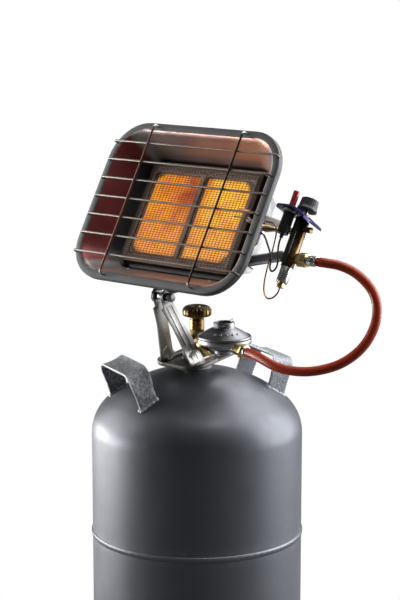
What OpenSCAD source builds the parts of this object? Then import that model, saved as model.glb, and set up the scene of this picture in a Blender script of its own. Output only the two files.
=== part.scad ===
// Tiltable radiant gas heater on a bracket, clamped to the neck of a steel gas bottle.
// Origin: on the bottle's axis, at the ground. +Z up, the heater faces -Y, +X to the right seen from behind it.

/* [Bottle] */
// Outside radius of the bottle's straight wall
bottle_r = 150; // [142:1:158]
// Sheet thickness of the bottle's shells
shell_t = 3; // [2:0.5:4]
// Height of the weld seam above the ground
seam_z = 260; // [240:1:300]
// Straight wall above the seam
upper_wall_h = 144; // [120:1:170]
// Straight wall below the seam
lower_wall_h = 150; // [120:1:170]
// Rise of each domed end
dome_h = 94; // [88:1:98]
// Radius of the crown of each domed end
crown_r = 200; // [190:1:210]
// How far the weld bead stands out of the wall
bead_proud = 2; // [1:0.5:3]
// Outside radius of the foot ring
foot_r = 108; // [95:1:120]
// Sheet thickness of the foot ring
foot_t = 3; // [2:0.5:4]
// Width of the flat edge that the foot ring stands on
foot_edge_w = 12; // [8:1:20]
// Diameter of the drain holes in the foot ring
drain_d = 14; // [8:1:18]

/* [Bottle handles] */
// Width of a handle's strap
strap_w = 31; // [26:1:45]
// Thickness of a handle's strap
strap_t = 4; // [3:0.5:6]
// Half of the handle's length at its top
strap_top = 49; // [42:1:56]
// Half of the handle's spread one drop further down
strap_foot = 52; // [50:1:84]
// Drop over which the handle's legs spread
strap_drop = 44; // [38:1:50]
// Distance of the handle's top from the bottle's axis
strap_reach = 114; // [106:1:122]
// Height of the handle's top above the top of the dome
strap_rise = 11; // [6:1:20]
// Lean of the handles, away from the axis
strap_lean = 18.5; // [8:0.5:24]
// Turn of the right handle's middle round the axis
strap_turn = 66.7; // [45:0.1:75]
// Radius of the bends in a handle
strap_bend = 14; // [10:1:18]

/* [Bottle valve] */
// Outside radius of the neck boss
boss_r = 20.5; // [18:0.5:21]
// Height of the neck boss above the dome
boss_h = 22; // [20:0.5:26]
// Radius of the valve's stem in the neck
stem_r = 13; // [10:0.5:15]
// Radius of the valve's body
valve_r = 12; // [11:0.5:13]
// Height of the outlet's axis above the boss
outlet_rise = 13.5; // [13.5:0.5:16]
// Height of the valve body above the boss
valve_h = 26; // [24:1:30]
// Radius of the outlet's thread
outlet_r = 10.9; // [9:0.1:10.9]
// Distance of the outlet's end face from the valve's axis
outlet_reach = 24; // [23:0.5:26]
// Turn of the outlet round the valve's axis, forwards from +X
outlet_turn = 18; // [0:1:24]
// Radius of the valve's spindle
spindle_r = 4; // [3:0.5:5]
// Radius of the gland nut across its corners
gland_r = 11; // [9:0.5:11.5]
// Height of the gland nut
gland_h = 6; // [4:1:8]
// Radius of the handwheel's rim
wheel_r = 20.5; // [18:0.5:24]
// Height of the handwheel's rim
wheel_h = 15; // [12:1:18]
// Radius of the handwheel's hub
hub_r = 10.3; // [9:0.1:12]
// Height of the handwheel's hub below its rim
hub_h = 19; // [15:1:22]
// Number of flutes round the handwheel
wheel_flutes = 20; // [12:1:24]

/* [Regulator] */
// Distance of the regulator's middle from the valve's axis
reg_reach = 73; // [70:1:78]
// Radius of the regulator's rim
reg_r = 38; // [34:1:40]
// Height of the regulator's rim above its inlet
reg_rim_z = 18.5; // [17:0.5:22]
// Depth of the body's bottom below its inlet
reg_bottom = 3; // [2:1:5]
// Wall thickness of the regulator's castings
reg_wall = 2.5; // [2:0.5:3]
// Rise of the cover's cone
cover_rise = 12; // [7:1:13]
// Outside radius of the cover's tower
tower_r = 14.8; // [13:0.1:16]
// Height of the cover's tower
tower_h = 7; // [6:1:12]
// Depth of the adjusting cap below the tower's edge
cap_recess = 4; // [2:0.5:5]
// Thickness of the diaphragm
diaphragm_t = 1.2; // [0.8:0.1:2]
// Roll of the regulator about its inlet
reg_roll = 0; // [0:1:8]
// Rise of the hose outlet above the inlet
reg_outlet_rise = 9; // [7:1:10]
// Size of the inlet nut across its flats
inlet_nut_af = 27; // [26:1:27]
// Radius of the inlet stem
inlet_stem_r = 7; // [5:0.5:8]
// Size of the hose nuts across their flats
hose_nut_af = 17; // [16:1:19]

/* [Hose] */
// Outside radius of the gas hose
hose_r = 6.4; // [5.5:0.1:7]
// Radius of the ferrules on the hose's ends
ferrule_r = 7.6; // [7.2:0.1:8]

/* [Bracket] */
// Width of the fork plate
fork_w = 84; // [82:1:100]
// Distance of the fork plate's front edge from the bottle's axis
fork_front = 52; // [50:1:58]
// Distance of the fork's prong ends behind the bottle's axis
fork_back = 38; // [30:1:44]
// Thickness of the fork plate
fork_t = 2.5; // [2:0.5:3]
// Forward tilt of the fork plate
fork_tilt = 8; // [5:0.5:9]
// Height of the fork plate's underside above the dome, at the axis
fork_rise = 13.2; // [12.8:0.1:14]
// Height of the fork plate's raised edge
fork_lip = 3; // [2:0.5:4]
// Distance of each leg's foot from the middle
leg_spread = 29; // [28:0.5:31]
// Distance of each leg's foot in front of the bottle's axis
leg_foot_y = 30.5; // [30:0.5:31.5]
// Width of a leg at its foot
leg_foot_w = 25; // [23:1:26]
// Width of a leg at its top
leg_top_w = 19; // [18:1:21]
// How far a leg's top spreads forward
leg_flare = 4; // [0:1:12]
// Thickness of the legs
leg_t = 2.5; // [2:0.5:3]
// Height of the raised rib on a leg
leg_rib = 0.5; // [0.4:0.1:1]
// Height of the clamp strap
clamp_h = 4; // [3:0.5:4]
// Thickness of the clamp strap
clamp_t = 2; // [1.5:0.5:2.5]

/* [Head pivot] */
// Distance of the pivot in front of the bottle's axis
pivot_front = 75.5; // [72:0.5:80]
// Height of the pivot above the dome
pivot_rise = 112; // [106:1:120]
// Upward tilt of the heater's face
face_tilt = 30.3; // [15:0.1:40]
// Radius of the pivot bolt
bolt_r = 3; // [2.5:0.5:3.5]
// Half of the length of the spacer between the legs
spacer_half = 6.2; // [5:0.1:7]
// Distance of the pivot below the middle of the face
pivot_drop = 120.8; // [120:0.1:126]
// Distance of the pivot behind the guard wires
pivot_back = 44.4; // [42:0.1:48]
// Radius of the pivot's grip
grip_r = 6; // [5:0.5:6]
// Length of the pivot's grip
grip_l = 11; // [9:1:14]

/* [Reflector] */
// Width of the reflector's rim
rim_w = 310; // [300:1:316]
// Height of the reflector's rim
rim_h = 241; // [234:1:243]
// Corner radius of the rim
rim_corner = 58; // [50:1:66]
// Width of the rim's flat edge
rim_edge = 12; // [9:0.5:13]
// Depth of the rim's turned-back edge
rim_return = 9; // [6:0.5:11]
// Sheet thickness of the reflector
sheet_t = 1; // [0.8:0.1:1.2]
// Depth of the reflector
dish_depth = 50; // [46:1:53]
// Width of the reflector's floor
floor_w = 226; // [222:1:232]
// Height of the reflector's floor
floor_h = 168; // [164:1:172]
// Distance of the rim behind the guard wires
rim_back = 6; // [5:0.5:8]

/* [Guard] */
// Radius of the guard's wires
wire_r = 1.5; // [1.2:0.1:1.8]
// Number of horizontal wires
wire_count = 7; // [5:1:9]
// Distance from one horizontal wire to the next
wire_pitch = 28.6; // [18:0.1:29]
// Half of the distance between the vertical wires
upright_half = 81.3; // [70:0.1:85]

/* [Burner] */
// Width of one ceramic plaque
plaque_w = 92; // [88:1:92]
// Height of one ceramic plaque
plaque_h = 132; // [128:1:132]
// Thickness of the plaques
plaque_t = 12.7; // [10:0.1:14]
// Gap between the two plaques
plaque_gap = 2; // [1:0.5:3]
// How far the frame covers a plaque's edge
plaque_cover = 3; // [2:0.5:4]
// Distance of the plaques' face behind the guard wires
plaque_back = 48; // [47:0.5:49]
// Outside width of the burner box
box_w = 190; // [188:1:193]
// Outside height of the burner box
box_h = 138; // [136:1:140]
// Depth of the burner box behind the plaques' face
box_depth = 50; // [48:1:56]
// Height of the burner box at its back
box_back_h = 104; // [98:1:120]
// Sheet thickness of the burner box
box_t = 1.2; // [1:0.1:1.5]
// Radius of the mixing tube
mixer_r = 11; // [9:0.5:11]
// Height of the mixing tube above the face's middle
mixer_w = 8; // [6:0.5:10]
// Distance of the mixing tube behind the guard wires
mixer_back = 78; // [77:0.5:80]
// Radius of the injector's body
injector_r = 5; // [4:0.5:6]
// Length of the injector's body
injector_l = 12; // [10:1:16]
// Radius of the tube that feeds the injector
feed_r = 2.5; // [2:0.5:3]
// Radius of the electrode's insulator
insulator_r = 3; // [2.5:0.5:3]
// Radius of the thermocouple's tip
probe_r = 1.8; // [1.5:0.1:2]

/* [Gas valve] */
// Distance of the gas valve's axis to the right of the face's middle
control_u = 167; // [165:0.5:170]
// Radius of the gas valve's body
gas_valve_r = 9; // [8:0.5:9]
// Height of the gas valve's top above the face's middle
gas_valve_top = 24; // [22:0.5:26]
// Length of the gas valve's body
gas_valve_l = 67; // [64:1:72]
// Height of the gas inlet above the face's middle
inlet_w = -30; // [-32:0.5:-28]
// Radius of the magnet housing
magnet_r = 8; // [7:0.5:8.5]
// Length of the magnet housing
magnet_l = 23; // [18:1:26]
// Radius of the knob's skirt
knob_skirt_r = 14; // [13:0.5:15]
// Radius of the knob's top
knob_top_r = 12; // [11:0.5:13]
// Height of the knob
knob_h = 17; // [15:1:22]
// How far the knob can be pushed
knob_push = 2; // [1:0.5:2.5]

/* [Igniter] */
// Distance of the igniter to the right of the face's middle
igniter_u = 153; // [151:0.5:154]
// Distance of the igniter behind the guard wires
igniter_back = 62; // [60:0.5:63]
// Radius of the igniter's body
igniter_r = 8; // [7:0.5:8]
// Length of the igniter's body below its nut
igniter_l = 30; // [26:1:34]
// Radius of the igniter's nut
igniter_nut_r = 11.5; // [10:0.5:11.5]
// Height of the igniter's nut
igniter_nut_h = 5; // [4:0.5:6]
// Radius of the push button
button_r = 4.5; // [3.5:0.5:5]
// Height of the push button above the control plate
button_h = 25; // [20:1:28]
// Travel of the push button
button_travel = 6; // [4:0.5:7]
// Height of the control plate's top above the face's middle
plate_w = 36; // [35.5:0.5:37]
// Thickness of the control plate
plate_t = 3; // [2:0.5:3]
// Slope of the control plate's lower part
plate_slope = 28.8; // [24:0.1:32]
// Length of the control plate's lower part
plate_slope_l = 36; // [34:1:46]

/* [Hidden] */
$fn = 48;

round_fn = 120;
run_gap = 0.05;      // radial clearance of a running fit
part_gap = 0.3;      // gap between pieces that move past each other
far = 400;           // longer than any piece, for cutting

// Bottle
knuckle_r = (crown_r * crown_r - bottle_r * bottle_r - pow(crown_r - dome_h, 2))
    / (2 * (crown_r - bottle_r));
dome_z = seam_z + upper_wall_h + dome_h;
bottom_z = seam_z - lower_wall_h - dome_h;
joggle_h = 10;
joggle_t = 2;
bead_r = bead_proud + 1;
drain_count = 4;
neck_r = stem_r + 3;
neck_depth = 10;
handle_run = 100;

// Valve
boss_z = dome_z + boss_h;
outlet_z = boss_z + outlet_rise;
valve_top = boss_z + valve_h;
gland_top = valve_top + gland_h;
wheel_z = gland_top + part_gap;
wheel_top = wheel_z + hub_h + wheel_h;
spindle_depth = 16;
dome_nut_r = 5;
dome_nut_h = 3;

// Regulator, measured along its inlet from the valve's axis
nut_start = boss_r + 0.7;
nut_thread_l = outlet_reach + 4.3 - nut_start;
stem_flange_t = 4;
nut_wall = 7;
stem_end = reg_reach - reg_r + 12;
inlet_arm_r = 8.5;
outlet_arm_r = 7;
bowl_edge = 5;       // how far the bowl's wall lies inside the rim
outlet_arm_end = reg_reach + reg_r - bowl_edge + part_gap;
adapter_af = hose_nut_af - 3;
adapter_l = 10;
collar_l = 1.5;
union_nut_l = 8.7;
ferrule_l = 6.5;
reg_hub_r = 14;
rim_plate_t = 2;
cover_edge_t = 2.5;
cover_z = reg_rim_z + diaphragm_t;
tower_z = cover_z + cover_edge_t + cover_rise;
tower_bore_r = tower_r - 2;
cap_t = 4;
adapter_start = outlet_arm_end;
union_start = adapter_start + adapter_l + collar_l;
ferrule_start = union_start + union_nut_l;

// Bracket
fork_z = dome_z + fork_rise;
fork_gap = 0.3;      // gap between the neck boss and what is clamped round it
fork_corner = 24;
fork_lip_t = 2;
leg_rib_w = 1.4;
leg_flare_l = 32;
leg_rib_x = 4.5;
leg_slot_h = 2;
leg_slot_w = 12;
leg_slot_up = 15;
tab_r = 8.8;
clamp_in = boss_r + fork_gap;
slot_half = clamp_in + 0.5;
clamp_out = clamp_in + clamp_t + 1;
clamp_up = 0.5;
clamp_tab_w = 11;
clamp_tab_h = 2.5;
clamp_tab_y = -leg_foot_y - 2;
pivot_z = dome_z + pivot_rise;
leg_foot_z = fork_z + fork_t / cos(fork_tilt) - leg_foot_y * tan(fork_tilt);
leg_mid_x = spacer_half + leg_t / 2;
leg_run_y = pivot_front - leg_foot_y;
leg_run_z = pivot_z - leg_foot_z;
leg_lean = atan(leg_run_y / leg_run_z);
leg_l = norm([leg_run_y, leg_run_z]);
ear_in = spacer_half + leg_t + part_gap;
ear_t = 2;
ear_out = ear_in + ear_t;
ear_r = 9;
leg_bend = ear_r + 3;
leg_splay = atan((leg_spread - leg_mid_x) / (leg_l - leg_bend));
bolt_head_r = 5.5;
bolt_head_l = 3.5;
grip_x = ear_out + part_gap;
grip_wall = 2;

// Reflector, in the head's own axes
rim_in_w = rim_w - 2 * rim_edge;
rim_in_h = rim_h - 2 * rim_edge;
rim_in_corner = rim_corner - rim_edge;
floor_corner = 28;
floor_n = -rim_back - dish_depth;
wall_angle = atan((rim_in_h - floor_h) / 2 / dish_depth);
wire_bend = 4;
wire_hole_r = wire_r + 0.2;
wire_end_u = rim_in_w / 2 + rim_edge / 2;
upright_end_w = rim_in_h / 2 + rim_edge / 2;
upright_n = 2 * wire_r;
wire_leg_end = -rim_back - 4;

// Yoke
yoke_w = 16;
yoke_t = 2;
yoke_web_up = 11.8;
yoke_arm_up = 6.8;
yoke_foot_in = 64;
yoke_foot_out = 86;
yoke_foot_u = 76;
yoke_wall_w = -(rim_in_h / 2 - (pivot_back - rim_back) * tan(wall_angle)) - sheet_t / cos(wall_angle);

// Burner
plaque_n = -plaque_back;
plaque_half = plaque_w + plaque_gap / 2;
window_in = plaque_gap / 2 + plaque_cover;
window_out = plaque_half - plaque_cover;
window_h = plaque_h - 2 * plaque_cover;
window_corner = 8;
gasket_t = 1;
frame_t = 1.5;
frame_w = 2 * plaque_half + 18;
frame_h = plaque_h + 20;
frame_corner = 6;
frame_skirt_t = 1.5;
box_flange = 7;
box_flange_n = floor_n - sheet_t;
box_back_n = plaque_n - box_depth;
box_taper_n = plaque_n - plaque_t - box_t - 4;
ledge_w = 5;
mixer_n = -mixer_back;
mixer_wall = 0.8;
mixer_in = -70;
mixer_out = box_w / 2 + 4;
mixer_cap_t = 2;
nozzle_r = 4;
nozzle_l = 8;
injector_end = mixer_out + mixer_cap_t + injector_l + 14;
electrode_u = (frame_w / 2 + floor_w / 2) / 2;
electrode_w = 4;
probe_w = electrode_w + 12;
electrode_front = -38;
electrode_back = -62;
rod_r = 0.9;
rod_l = 22;
boot_r = 6.3;
boot_top = electrode_w + 5;
boot_l = 33;
boot_n = floor_n - 2.7 - boot_r;

// Gas valve
control_n = -mixer_back;
gas_valve_bottom = gas_valve_top - gas_valve_l;
magnet_bottom = gas_valve_bottom - magnet_l;
tc_nut_l = 7;
tc_nut_af = 9;
bonnet_r = 6;
bonnet_top = plate_w - 2;
inlet_boss_r = 7;
inlet_boss_u = control_u + 15;
hose_nut_l = 15;
high_ferrule_l = 17;
control_shaft_r = 3;
knob_w = plate_w + knob_push + 2;
knob_wall = 2;
shaft_depth = 14;
bleed_r = 4;
bleed_l = 19;
bleed_w = 13;

// Igniter
igniter_n = -igniter_back;
collar_r = 9;
collar_top = plate_w + 1;
nut_top = plate_w - plate_t;
igniter_bottom = nut_top - igniter_nut_h - igniter_l;
terminal_r = 2.5;
terminal_l = 6;
button_low = plate_w - 16;
bore_low = button_low - button_travel - 5;

// Control plate and arms
plate_left = 132;
plate_fold = 165;
plate_front = -48;
plate_rear = -92;
plate_corner = 11;
bracket_w = 8;
bracket_t = 2;
bracket_n = control_n + gas_valve_r;
bracket_u = igniter_u + igniter_r + 1;
bracket_top = plate_w - plate_t - igniter_nut_h - 0.6;
bracket_low = -40;
arm_t = 2;
arm_n = control_n - gas_valve_r - arm_t;
arm_foot_u = box_w / 2;
arm_flange = 6;
arm_end_u = control_u + 5;
screw_n = box_back_n + 5;
screw_r = 2;
screw_head_r = 4;
screw_head_h = 2.4;
upper_screw_w = 24;
lower_screw_w = -39;

// Route of the gas hose, from the regulator to the gas valve
HOSE = [
    [126.7, -41.2, 542.5], [144.2, -46.9, 542.2], [161, -52, 540], [179, -55, 536], [197, -54, 532.5],
    [216, -49, 531], [234, -41, 532], [251, -31, 536], [267, -21, 543], [281, -11, 554],
    [292, -2, 568], [299, 6, 585], [302, 12, 604], [299, 16, 623], [290, 17, 640],
    [276, 14.5, 654], [262, 10, 663.5], [246, 4, 669.5], [230, -0.4, 671.3], [214.2, -0.7, 671.4]
];

// Route of the thermocouple's capillary, in the head's own axes
CAPILLARY = [
    [167, -71, -78], [167, -77, -78], [166, -82, -78], [162, -88, -78], [156, -91, -77], [150, -89, -76],
    [146, -83, -75], [143, -74, -74], [141, -62, -73], [140, -48, -72], [139, -34, -72], [138, -20, -72],
    [136, -6, -72], [133, 5, -72], [128, 12, -72], [121, 15.5, -72.5], [114, 16, -72],
    [109.5, 16, -69.5], [107.6, 16, -66], [107.5, 16, -62.2]
];

// Route of the ignition lead, in the head's own axes
LEAD = [
    [153, -8.2, -62], [153, -14, -62], [154, -22, -62.5], [157, -32, -63], [160, -41, -64],
    [160.5, -49, -65], [157, -54.5, -66], [152, -55, -67], [148, -50, -67], [146, -42, -67],
    [143, -34, -66.5], [138, -26, -65.5], [131, -17, -64.5], [124, -9, -64.5], [118, -4.6, -65], [114, -4, -65]
];
lead_r = 1.3;
capillary_r = 1.1;

// ---------- helpers ----------

function unit(v) = v / norm(v);

function tangent(path, i) =
    unit(path[min(i + 1, len(path) - 1)] - path[max(i - 1, 0)]);

function ring_points(centre, along, side, radius, sides) =
    let (a = unit(cross(side, along)), b = cross(along, a))
    [for (k = [0 : sides - 1]) let (t = 360 * k / sides)
        centre + radius * (cos(t) * a + sin(t) * b)];

// A round tube along a path; side is a direction that the path never follows
module swept_tube(path, radius, sides, side) {
    rings = len(path);
    points = [for (i = [0 : rings - 1])
        each ring_points(path[i], tangent(path, i), side, radius, sides)];
    walls = [for (i = [0 : rings - 2], k = [0 : sides - 1])
        let (a = i * sides + k, b = i * sides + (k + 1) % sides)
        each [[a, a + sides, b + sides], [a, b + sides, b]]];
    start_cap = [[for (k = [0 : sides - 1]) k]];
    end_cap = [[for (k = [sides - 1 : -1 : 0]) (rings - 1) * sides + k]];
    polyhedron(points = points, faces = concat(start_cap, walls, end_cap), convexity = 6);
}

function helix(radius, pitch, turns, steps) =
    [for (i = [0 : turns * steps]) let (t = 360 * i / steps)
        [radius * cos(t), radius * sin(t), pitch * i / steps]];

module coil_spring(radius, wire, length, turns) {
    pitch = (length - 2 * wire) / turns;
    translate([0, 0, wire]) swept_tube(helix(radius, pitch, turns, 12), wire, 6, [0, 0, 1]);
}

module rounded_rect(w, h, r) {
    square([w - 2 * r, h], center = true);
    square([w, h - 2 * r], center = true);
    for (x = [-1, 1], y = [-1, 1]) translate([x * (w / 2 - r), y * (h / 2 - r)]) circle(r = r);
}

module hexagon(across_flats) {
    rotate(30) circle(r = across_flats / 2 / cos(30), $fn = 6);
}

module tube(r_out, r_in, l) {
    linear_extrude(l) difference() {
        circle(r = r_out);
        circle(r = r_in);
    }
}

// Lays a Z-axis piece along +X
module along_x() {
    rotate([0, 90, 0]) children();
}

// Lays a Z-axis piece along +Y
module along_y() {
    rotate([-90, 0, 0]) children();
}

module in_head() {
    translate([0, -pivot_front, pivot_z]) rotate([90 - face_tilt, 0, 0])
        translate([0, pivot_drop, pivot_back]) children();
}

module in_regulator() {
    translate([0, 0, outlet_z]) rotate([reg_roll, 0, -outlet_turn]) children();
}

module on_regulator_middle() {
    in_regulator() translate([reg_reach, 0, 0]) children();
}

module on_fork() {
    translate([0, 0, fork_z]) rotate([fork_tilt, 0, 0]) children();
}

// ---------- bottle ----------

// Quarter profile of a domed end: x is the radius, y the height above the straight wall
module dome_area(inset) {
    r = bottle_r - inset;
    rise = dome_h - inset;
    crown = crown_r - inset;
    middle = bottle_r - knuckle_r;
    intersection() {
        union() {
            intersection() {
                translate([0, rise - crown]) circle(r = crown, $fn = 2 * round_fn);
                polygon([[0, 0], [middle, 0], [3 * middle, 2 * (crown - rise)], [0, 2 * (crown - rise)]]);
            }
            translate([middle, 0]) circle(r = knuckle_r - inset, $fn = round_fn);
        }
        square([r + 1, rise + 1]);
    }
}

// The area that half of the bottle fills, from the seam upwards
module half_bottle_area(wall_h, inset) {
    square([bottle_r - inset, wall_h]);
    translate([0, wall_h]) dome_area(inset);
}

module upper_solid() {
    translate([0, 0, seam_z]) rotate_extrude($fn = round_fn) half_bottle_area(upper_wall_h, 0);
}

module lower_solid() {
    translate([0, 0, seam_z]) rotate_extrude($fn = round_fn)
        mirror([0, 1]) half_bottle_area(lower_wall_h, 0);
}

module upper_shell() {
    color("slategray") translate([0, 0, seam_z]) rotate_extrude($fn = round_fn) difference() {
        half_bottle_area(upper_wall_h, 0);
        half_bottle_area(upper_wall_h, shell_t);
        square([neck_r, far]);
    }
}

module lower_shell() {
    joggle_r = bottle_r - shell_t - run_gap;
    color("slategray") translate([0, 0, seam_z]) rotate_extrude($fn = round_fn) {
        mirror([0, 1]) difference() {
            half_bottle_area(lower_wall_h, 0);
            half_bottle_area(lower_wall_h, shell_t);
        }
        polygon([
            [joggle_r - joggle_t, joggle_h], [joggle_r, joggle_h], [joggle_r, 0],
            [joggle_r, -shell_t], [joggle_r - joggle_t, -shell_t]
        ]);
        intersection() {
            translate([bottle_r + bead_proud - bead_r, 0]) circle(r = bead_r);
            translate([bottle_r, -bead_r]) square([bead_proud, 2 * bead_r]);
        }
    }
}

module foot_ring() {
    color("slategray") difference() {
        union() {
            tube(foot_r, foot_r - foot_t, bottom_z + dome_h, $fn = round_fn);
            tube(foot_r, foot_r - foot_edge_w, foot_t, $fn = round_fn);
        }
        lower_solid();
        for (k = [0 : drain_count - 1]) rotate([0, 0, 45 + 360 * k / drain_count])
            translate([foot_r - 2 * foot_t, 0, foot_t + drain_d]) along_x() cylinder(d = drain_d, h = 3 * foot_t);
    }
}

module handle_outline() {
    reach = strap_top + (strap_foot - strap_top) * handle_run / strap_drop;
    polygon([[-reach, -handle_run], [-strap_top, 0], [strap_top, 0], [reach, -handle_run]]);
}

module handle_profile() {
    difference() {
        offset(r = strap_bend + strap_t / 2) offset(delta = -strap_bend) handle_outline();
        offset(r = strap_bend - strap_t / 2) offset(delta = -strap_bend) handle_outline();
    }
}

// A bent strap that stands across the dome's shoulder, at a turn round the axis
module handle(turn) {
    color("slategray") difference() {
        rotate([0, 0, turn]) translate([strap_reach, 0, dome_z + strap_rise]) rotate([0, strap_lean, 0])
            translate([-strap_w / 2, 0, 0]) rotate([90, 0, 90]) linear_extrude(strap_w) handle_profile();
        upper_solid();
    }
}

module handle_left() {
    handle(strap_turn + 180);
}

module handle_right() {
    handle(strap_turn);
}

module neck_boss() {
    color("lightslategray") difference() {
        union() {
            difference() {
                translate([0, 0, dome_z - neck_depth]) cylinder(r = boss_r, h = neck_depth + boss_h);
                upper_solid();
            }
            translate([0, 0, dome_z - neck_depth]) cylinder(r = neck_r, h = neck_depth);
        }
        translate([0, 0, dome_z - far / 2]) cylinder(r = stem_r, h = far);
    }
}

// ---------- bottle valve ----------

module valve_body() {
    color("goldenrod") difference() {
        union() {
            translate([0, 0, dome_z - neck_depth]) cylinder(r = stem_r, h = boss_z - dome_z + neck_depth);
            translate([0, 0, boss_z]) cylinder(r = valve_r, h = valve_h);
            translate([0, 0, valve_top]) cylinder(r = gland_r, h = gland_h, $fn = 6);
            in_regulator() along_x() cylinder(r = outlet_r, h = outlet_reach);
        }
        translate([0, 0, gland_top - spindle_depth]) cylinder(r = spindle_r + run_gap, h = far);
    }
}

module valve_spindle() {
    color("silver") translate([0, 0, gland_top - spindle_depth + part_gap])
        cylinder(r = spindle_r, h = wheel_top - gland_top + spindle_depth - part_gap - knob_wall);
}

module handwheel() {
    flute_r = 1.5;
    color("darkgoldenrod") difference() {
        union() {
            translate([0, 0, wheel_z]) cylinder(r = hub_r, h = hub_h + wheel_h / 2);
            translate([0, 0, wheel_z + hub_h]) rotate_extrude($fn = 96) polygon([
                [0, 0], [wheel_r - 2, 0], [wheel_r, 2], [wheel_r, wheel_h - 5], [wheel_r - 1.5, wheel_h - 2],
                [wheel_r - 4, wheel_h - 0.6], [wheel_r - 7, wheel_h], [0, wheel_h]
            ]);
        }
        for (k = [0 : wheel_flutes - 1]) rotate([0, 0, 360 * k / wheel_flutes])
            translate([wheel_r + 0.6, 0, wheel_z + hub_h - 1]) cylinder(r = flute_r, h = wheel_h + 2, $fn = 20);
        translate([0, 0, wheel_z - 1]) cylinder(r = spindle_r, h = wheel_top - wheel_z + 1 - knob_wall);
    }
    color("gold") translate([0, 0, wheel_top]) cylinder(r = dome_nut_r, h = dome_nut_h / 2);
}

// ---------- regulator ----------

module regulator_inlet_nut() {
    color("goldenrod") in_regulator() translate([nut_start, 0, 0]) along_x() difference() {
        linear_extrude(nut_thread_l + nut_wall) hexagon(inlet_nut_af);
        translate([0, 0, -1]) cylinder(r = outlet_r + run_gap, h = nut_thread_l + 1);
        cylinder(r = inlet_stem_r + run_gap, h = far);
    }
}

module regulator_stem() {
    color("darkgoldenrod") in_regulator() {
        translate([outlet_reach, 0, 0]) along_x() cylinder(r = outlet_r, h = stem_flange_t);
        translate([outlet_reach, 0, 0]) along_x() cylinder(r = inlet_stem_r, h = stem_end - outlet_reach);
    }
}

module regulator_bowl_area(inset) {
    polygon([
        [0, inset - reg_bottom], [reg_hub_r - inset, inset - reg_bottom], [reg_hub_r - inset, inset + 3],
        [reg_r - bowl_edge - inset, reg_rim_z - rim_plate_t - 3 + inset],
        [reg_r - bowl_edge - inset, reg_rim_z], [0, reg_rim_z]
    ]);
}

module regulator_body() {
    color("silver") {
        difference() {
            union() {
                on_regulator_middle() rotate_extrude($fn = 72) {
                    regulator_bowl_area(0);
                    translate([0, reg_rim_z - rim_plate_t]) square([reg_r, rim_plate_t]);
                }
                in_regulator() translate([stem_end, 0, 0]) along_x()
                    cylinder(r = inlet_arm_r, h = reg_reach - stem_end);
                in_regulator() translate([reg_reach, 0, reg_outlet_rise]) along_x()
                    cylinder(r = outlet_arm_r, h = outlet_arm_end - reg_reach);
            }
            on_regulator_middle() rotate_extrude($fn = 72) regulator_bowl_area(reg_wall);
        }
    }
}

module regulator_diaphragm() {
    color("black") on_regulator_middle() translate([0, 0, reg_rim_z]) cylinder(r = reg_r - 1, h = diaphragm_t);
}

module regulator_cover() {
    edge = cover_edge_t;
    color("silver") on_regulator_middle() translate([0, 0, cover_z]) rotate_extrude($fn = 72) difference() {
        polygon([
            [0, 0], [reg_r, 0], [reg_r, edge], [tower_r + 0.5, edge + cover_rise],
            [tower_r, edge + cover_rise + tower_h], [0, edge + cover_rise + tower_h]
        ]);
        polygon([
            [-1, -1], [reg_r - 3, -1], [reg_r - 3, edge - reg_wall + 1],
            [tower_bore_r, edge + cover_rise - reg_wall + 1], [tower_bore_r, far], [-1, far]
        ]);
    }
}

module regulator_spring() {
    length = tower_z + tower_h - cap_recess - cap_t - cover_z - 2 * part_gap;
    color("gray") on_regulator_middle() translate([0, 0, cover_z + part_gap])
        coil_spring(8, 1, length, 4);
}

module regulator_cap() {
    color("dimgray") on_regulator_middle() translate([0, 0, tower_z + tower_h - cap_recess - cap_t])
        difference() {
            cylinder(r = tower_bore_r - run_gap, h = cap_t);
            translate([-1, -6, cap_t - 1.5]) cube([2, 12, 2]);
        }
}

module regulator_outlet_nuts() {
    color("goldenrod") in_regulator() translate([0, 0, reg_outlet_rise]) {
        translate([adapter_start, 0, 0]) along_x() linear_extrude(adapter_l) hexagon(adapter_af);
        translate([adapter_start + adapter_l, 0, 0]) along_x() cylinder(r = adapter_af / 2 - 1, h = collar_l);
        translate([union_start, 0, 0]) along_x() linear_extrude(union_nut_l) hexagon(hose_nut_af + 1);
    }
}

module hose_ferrule_low() {
    color("silver") in_regulator() translate([ferrule_start, 0, reg_outlet_rise]) along_x()
        cylinder(r = ferrule_r, h = ferrule_l);
}

module gas_hose() {
    color("firebrick") swept_tube(HOSE, hose_r, 12, [0.45, -0.85, 0.1]);
}

// ---------- bracket ----------

module fork_outline() {
    difference() {
        union() {
            translate([0, (fork_back - fork_front) / 2]) rounded_rect(fork_w, fork_back + fork_front, fork_corner);
            translate([-fork_w / 2, fork_back - fork_corner]) square([fork_w, fork_corner]);
        }
        circle(r = slot_half);
        translate([-slot_half, 0]) square([2 * slot_half, far]);
    }
}

// The space that the neck boss needs, upright through the tilted strap
module neck_space() {
    translate([0, 0, dome_z - far / 2]) cylinder(r = clamp_in, h = far);
}

module fork_plate() {
    depth = fork_back + fork_front;
    color("gray") on_fork() {
        linear_extrude(fork_t) fork_outline();
        linear_extrude(fork_t + fork_lip) difference() {
            translate([0, (fork_back - fork_front) / 2]) difference() {
                rounded_rect(fork_w, depth, fork_corner);
                rounded_rect(fork_w - 2 * fork_lip_t, depth - 2 * fork_lip_t, fork_corner - fork_lip_t);
            }
            translate([-fork_w, -fork_front / 2 + fork_corner]) square([2 * fork_w, far]);
        }
    }
}

module leg_frame(side) {
    translate([side * leg_mid_x, -pivot_front, pivot_z]) rotate([leg_lean, 0, 0])
        translate([0, 0, -leg_bend]) rotate([0, -side * leg_splay, 0]) children();
}

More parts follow.
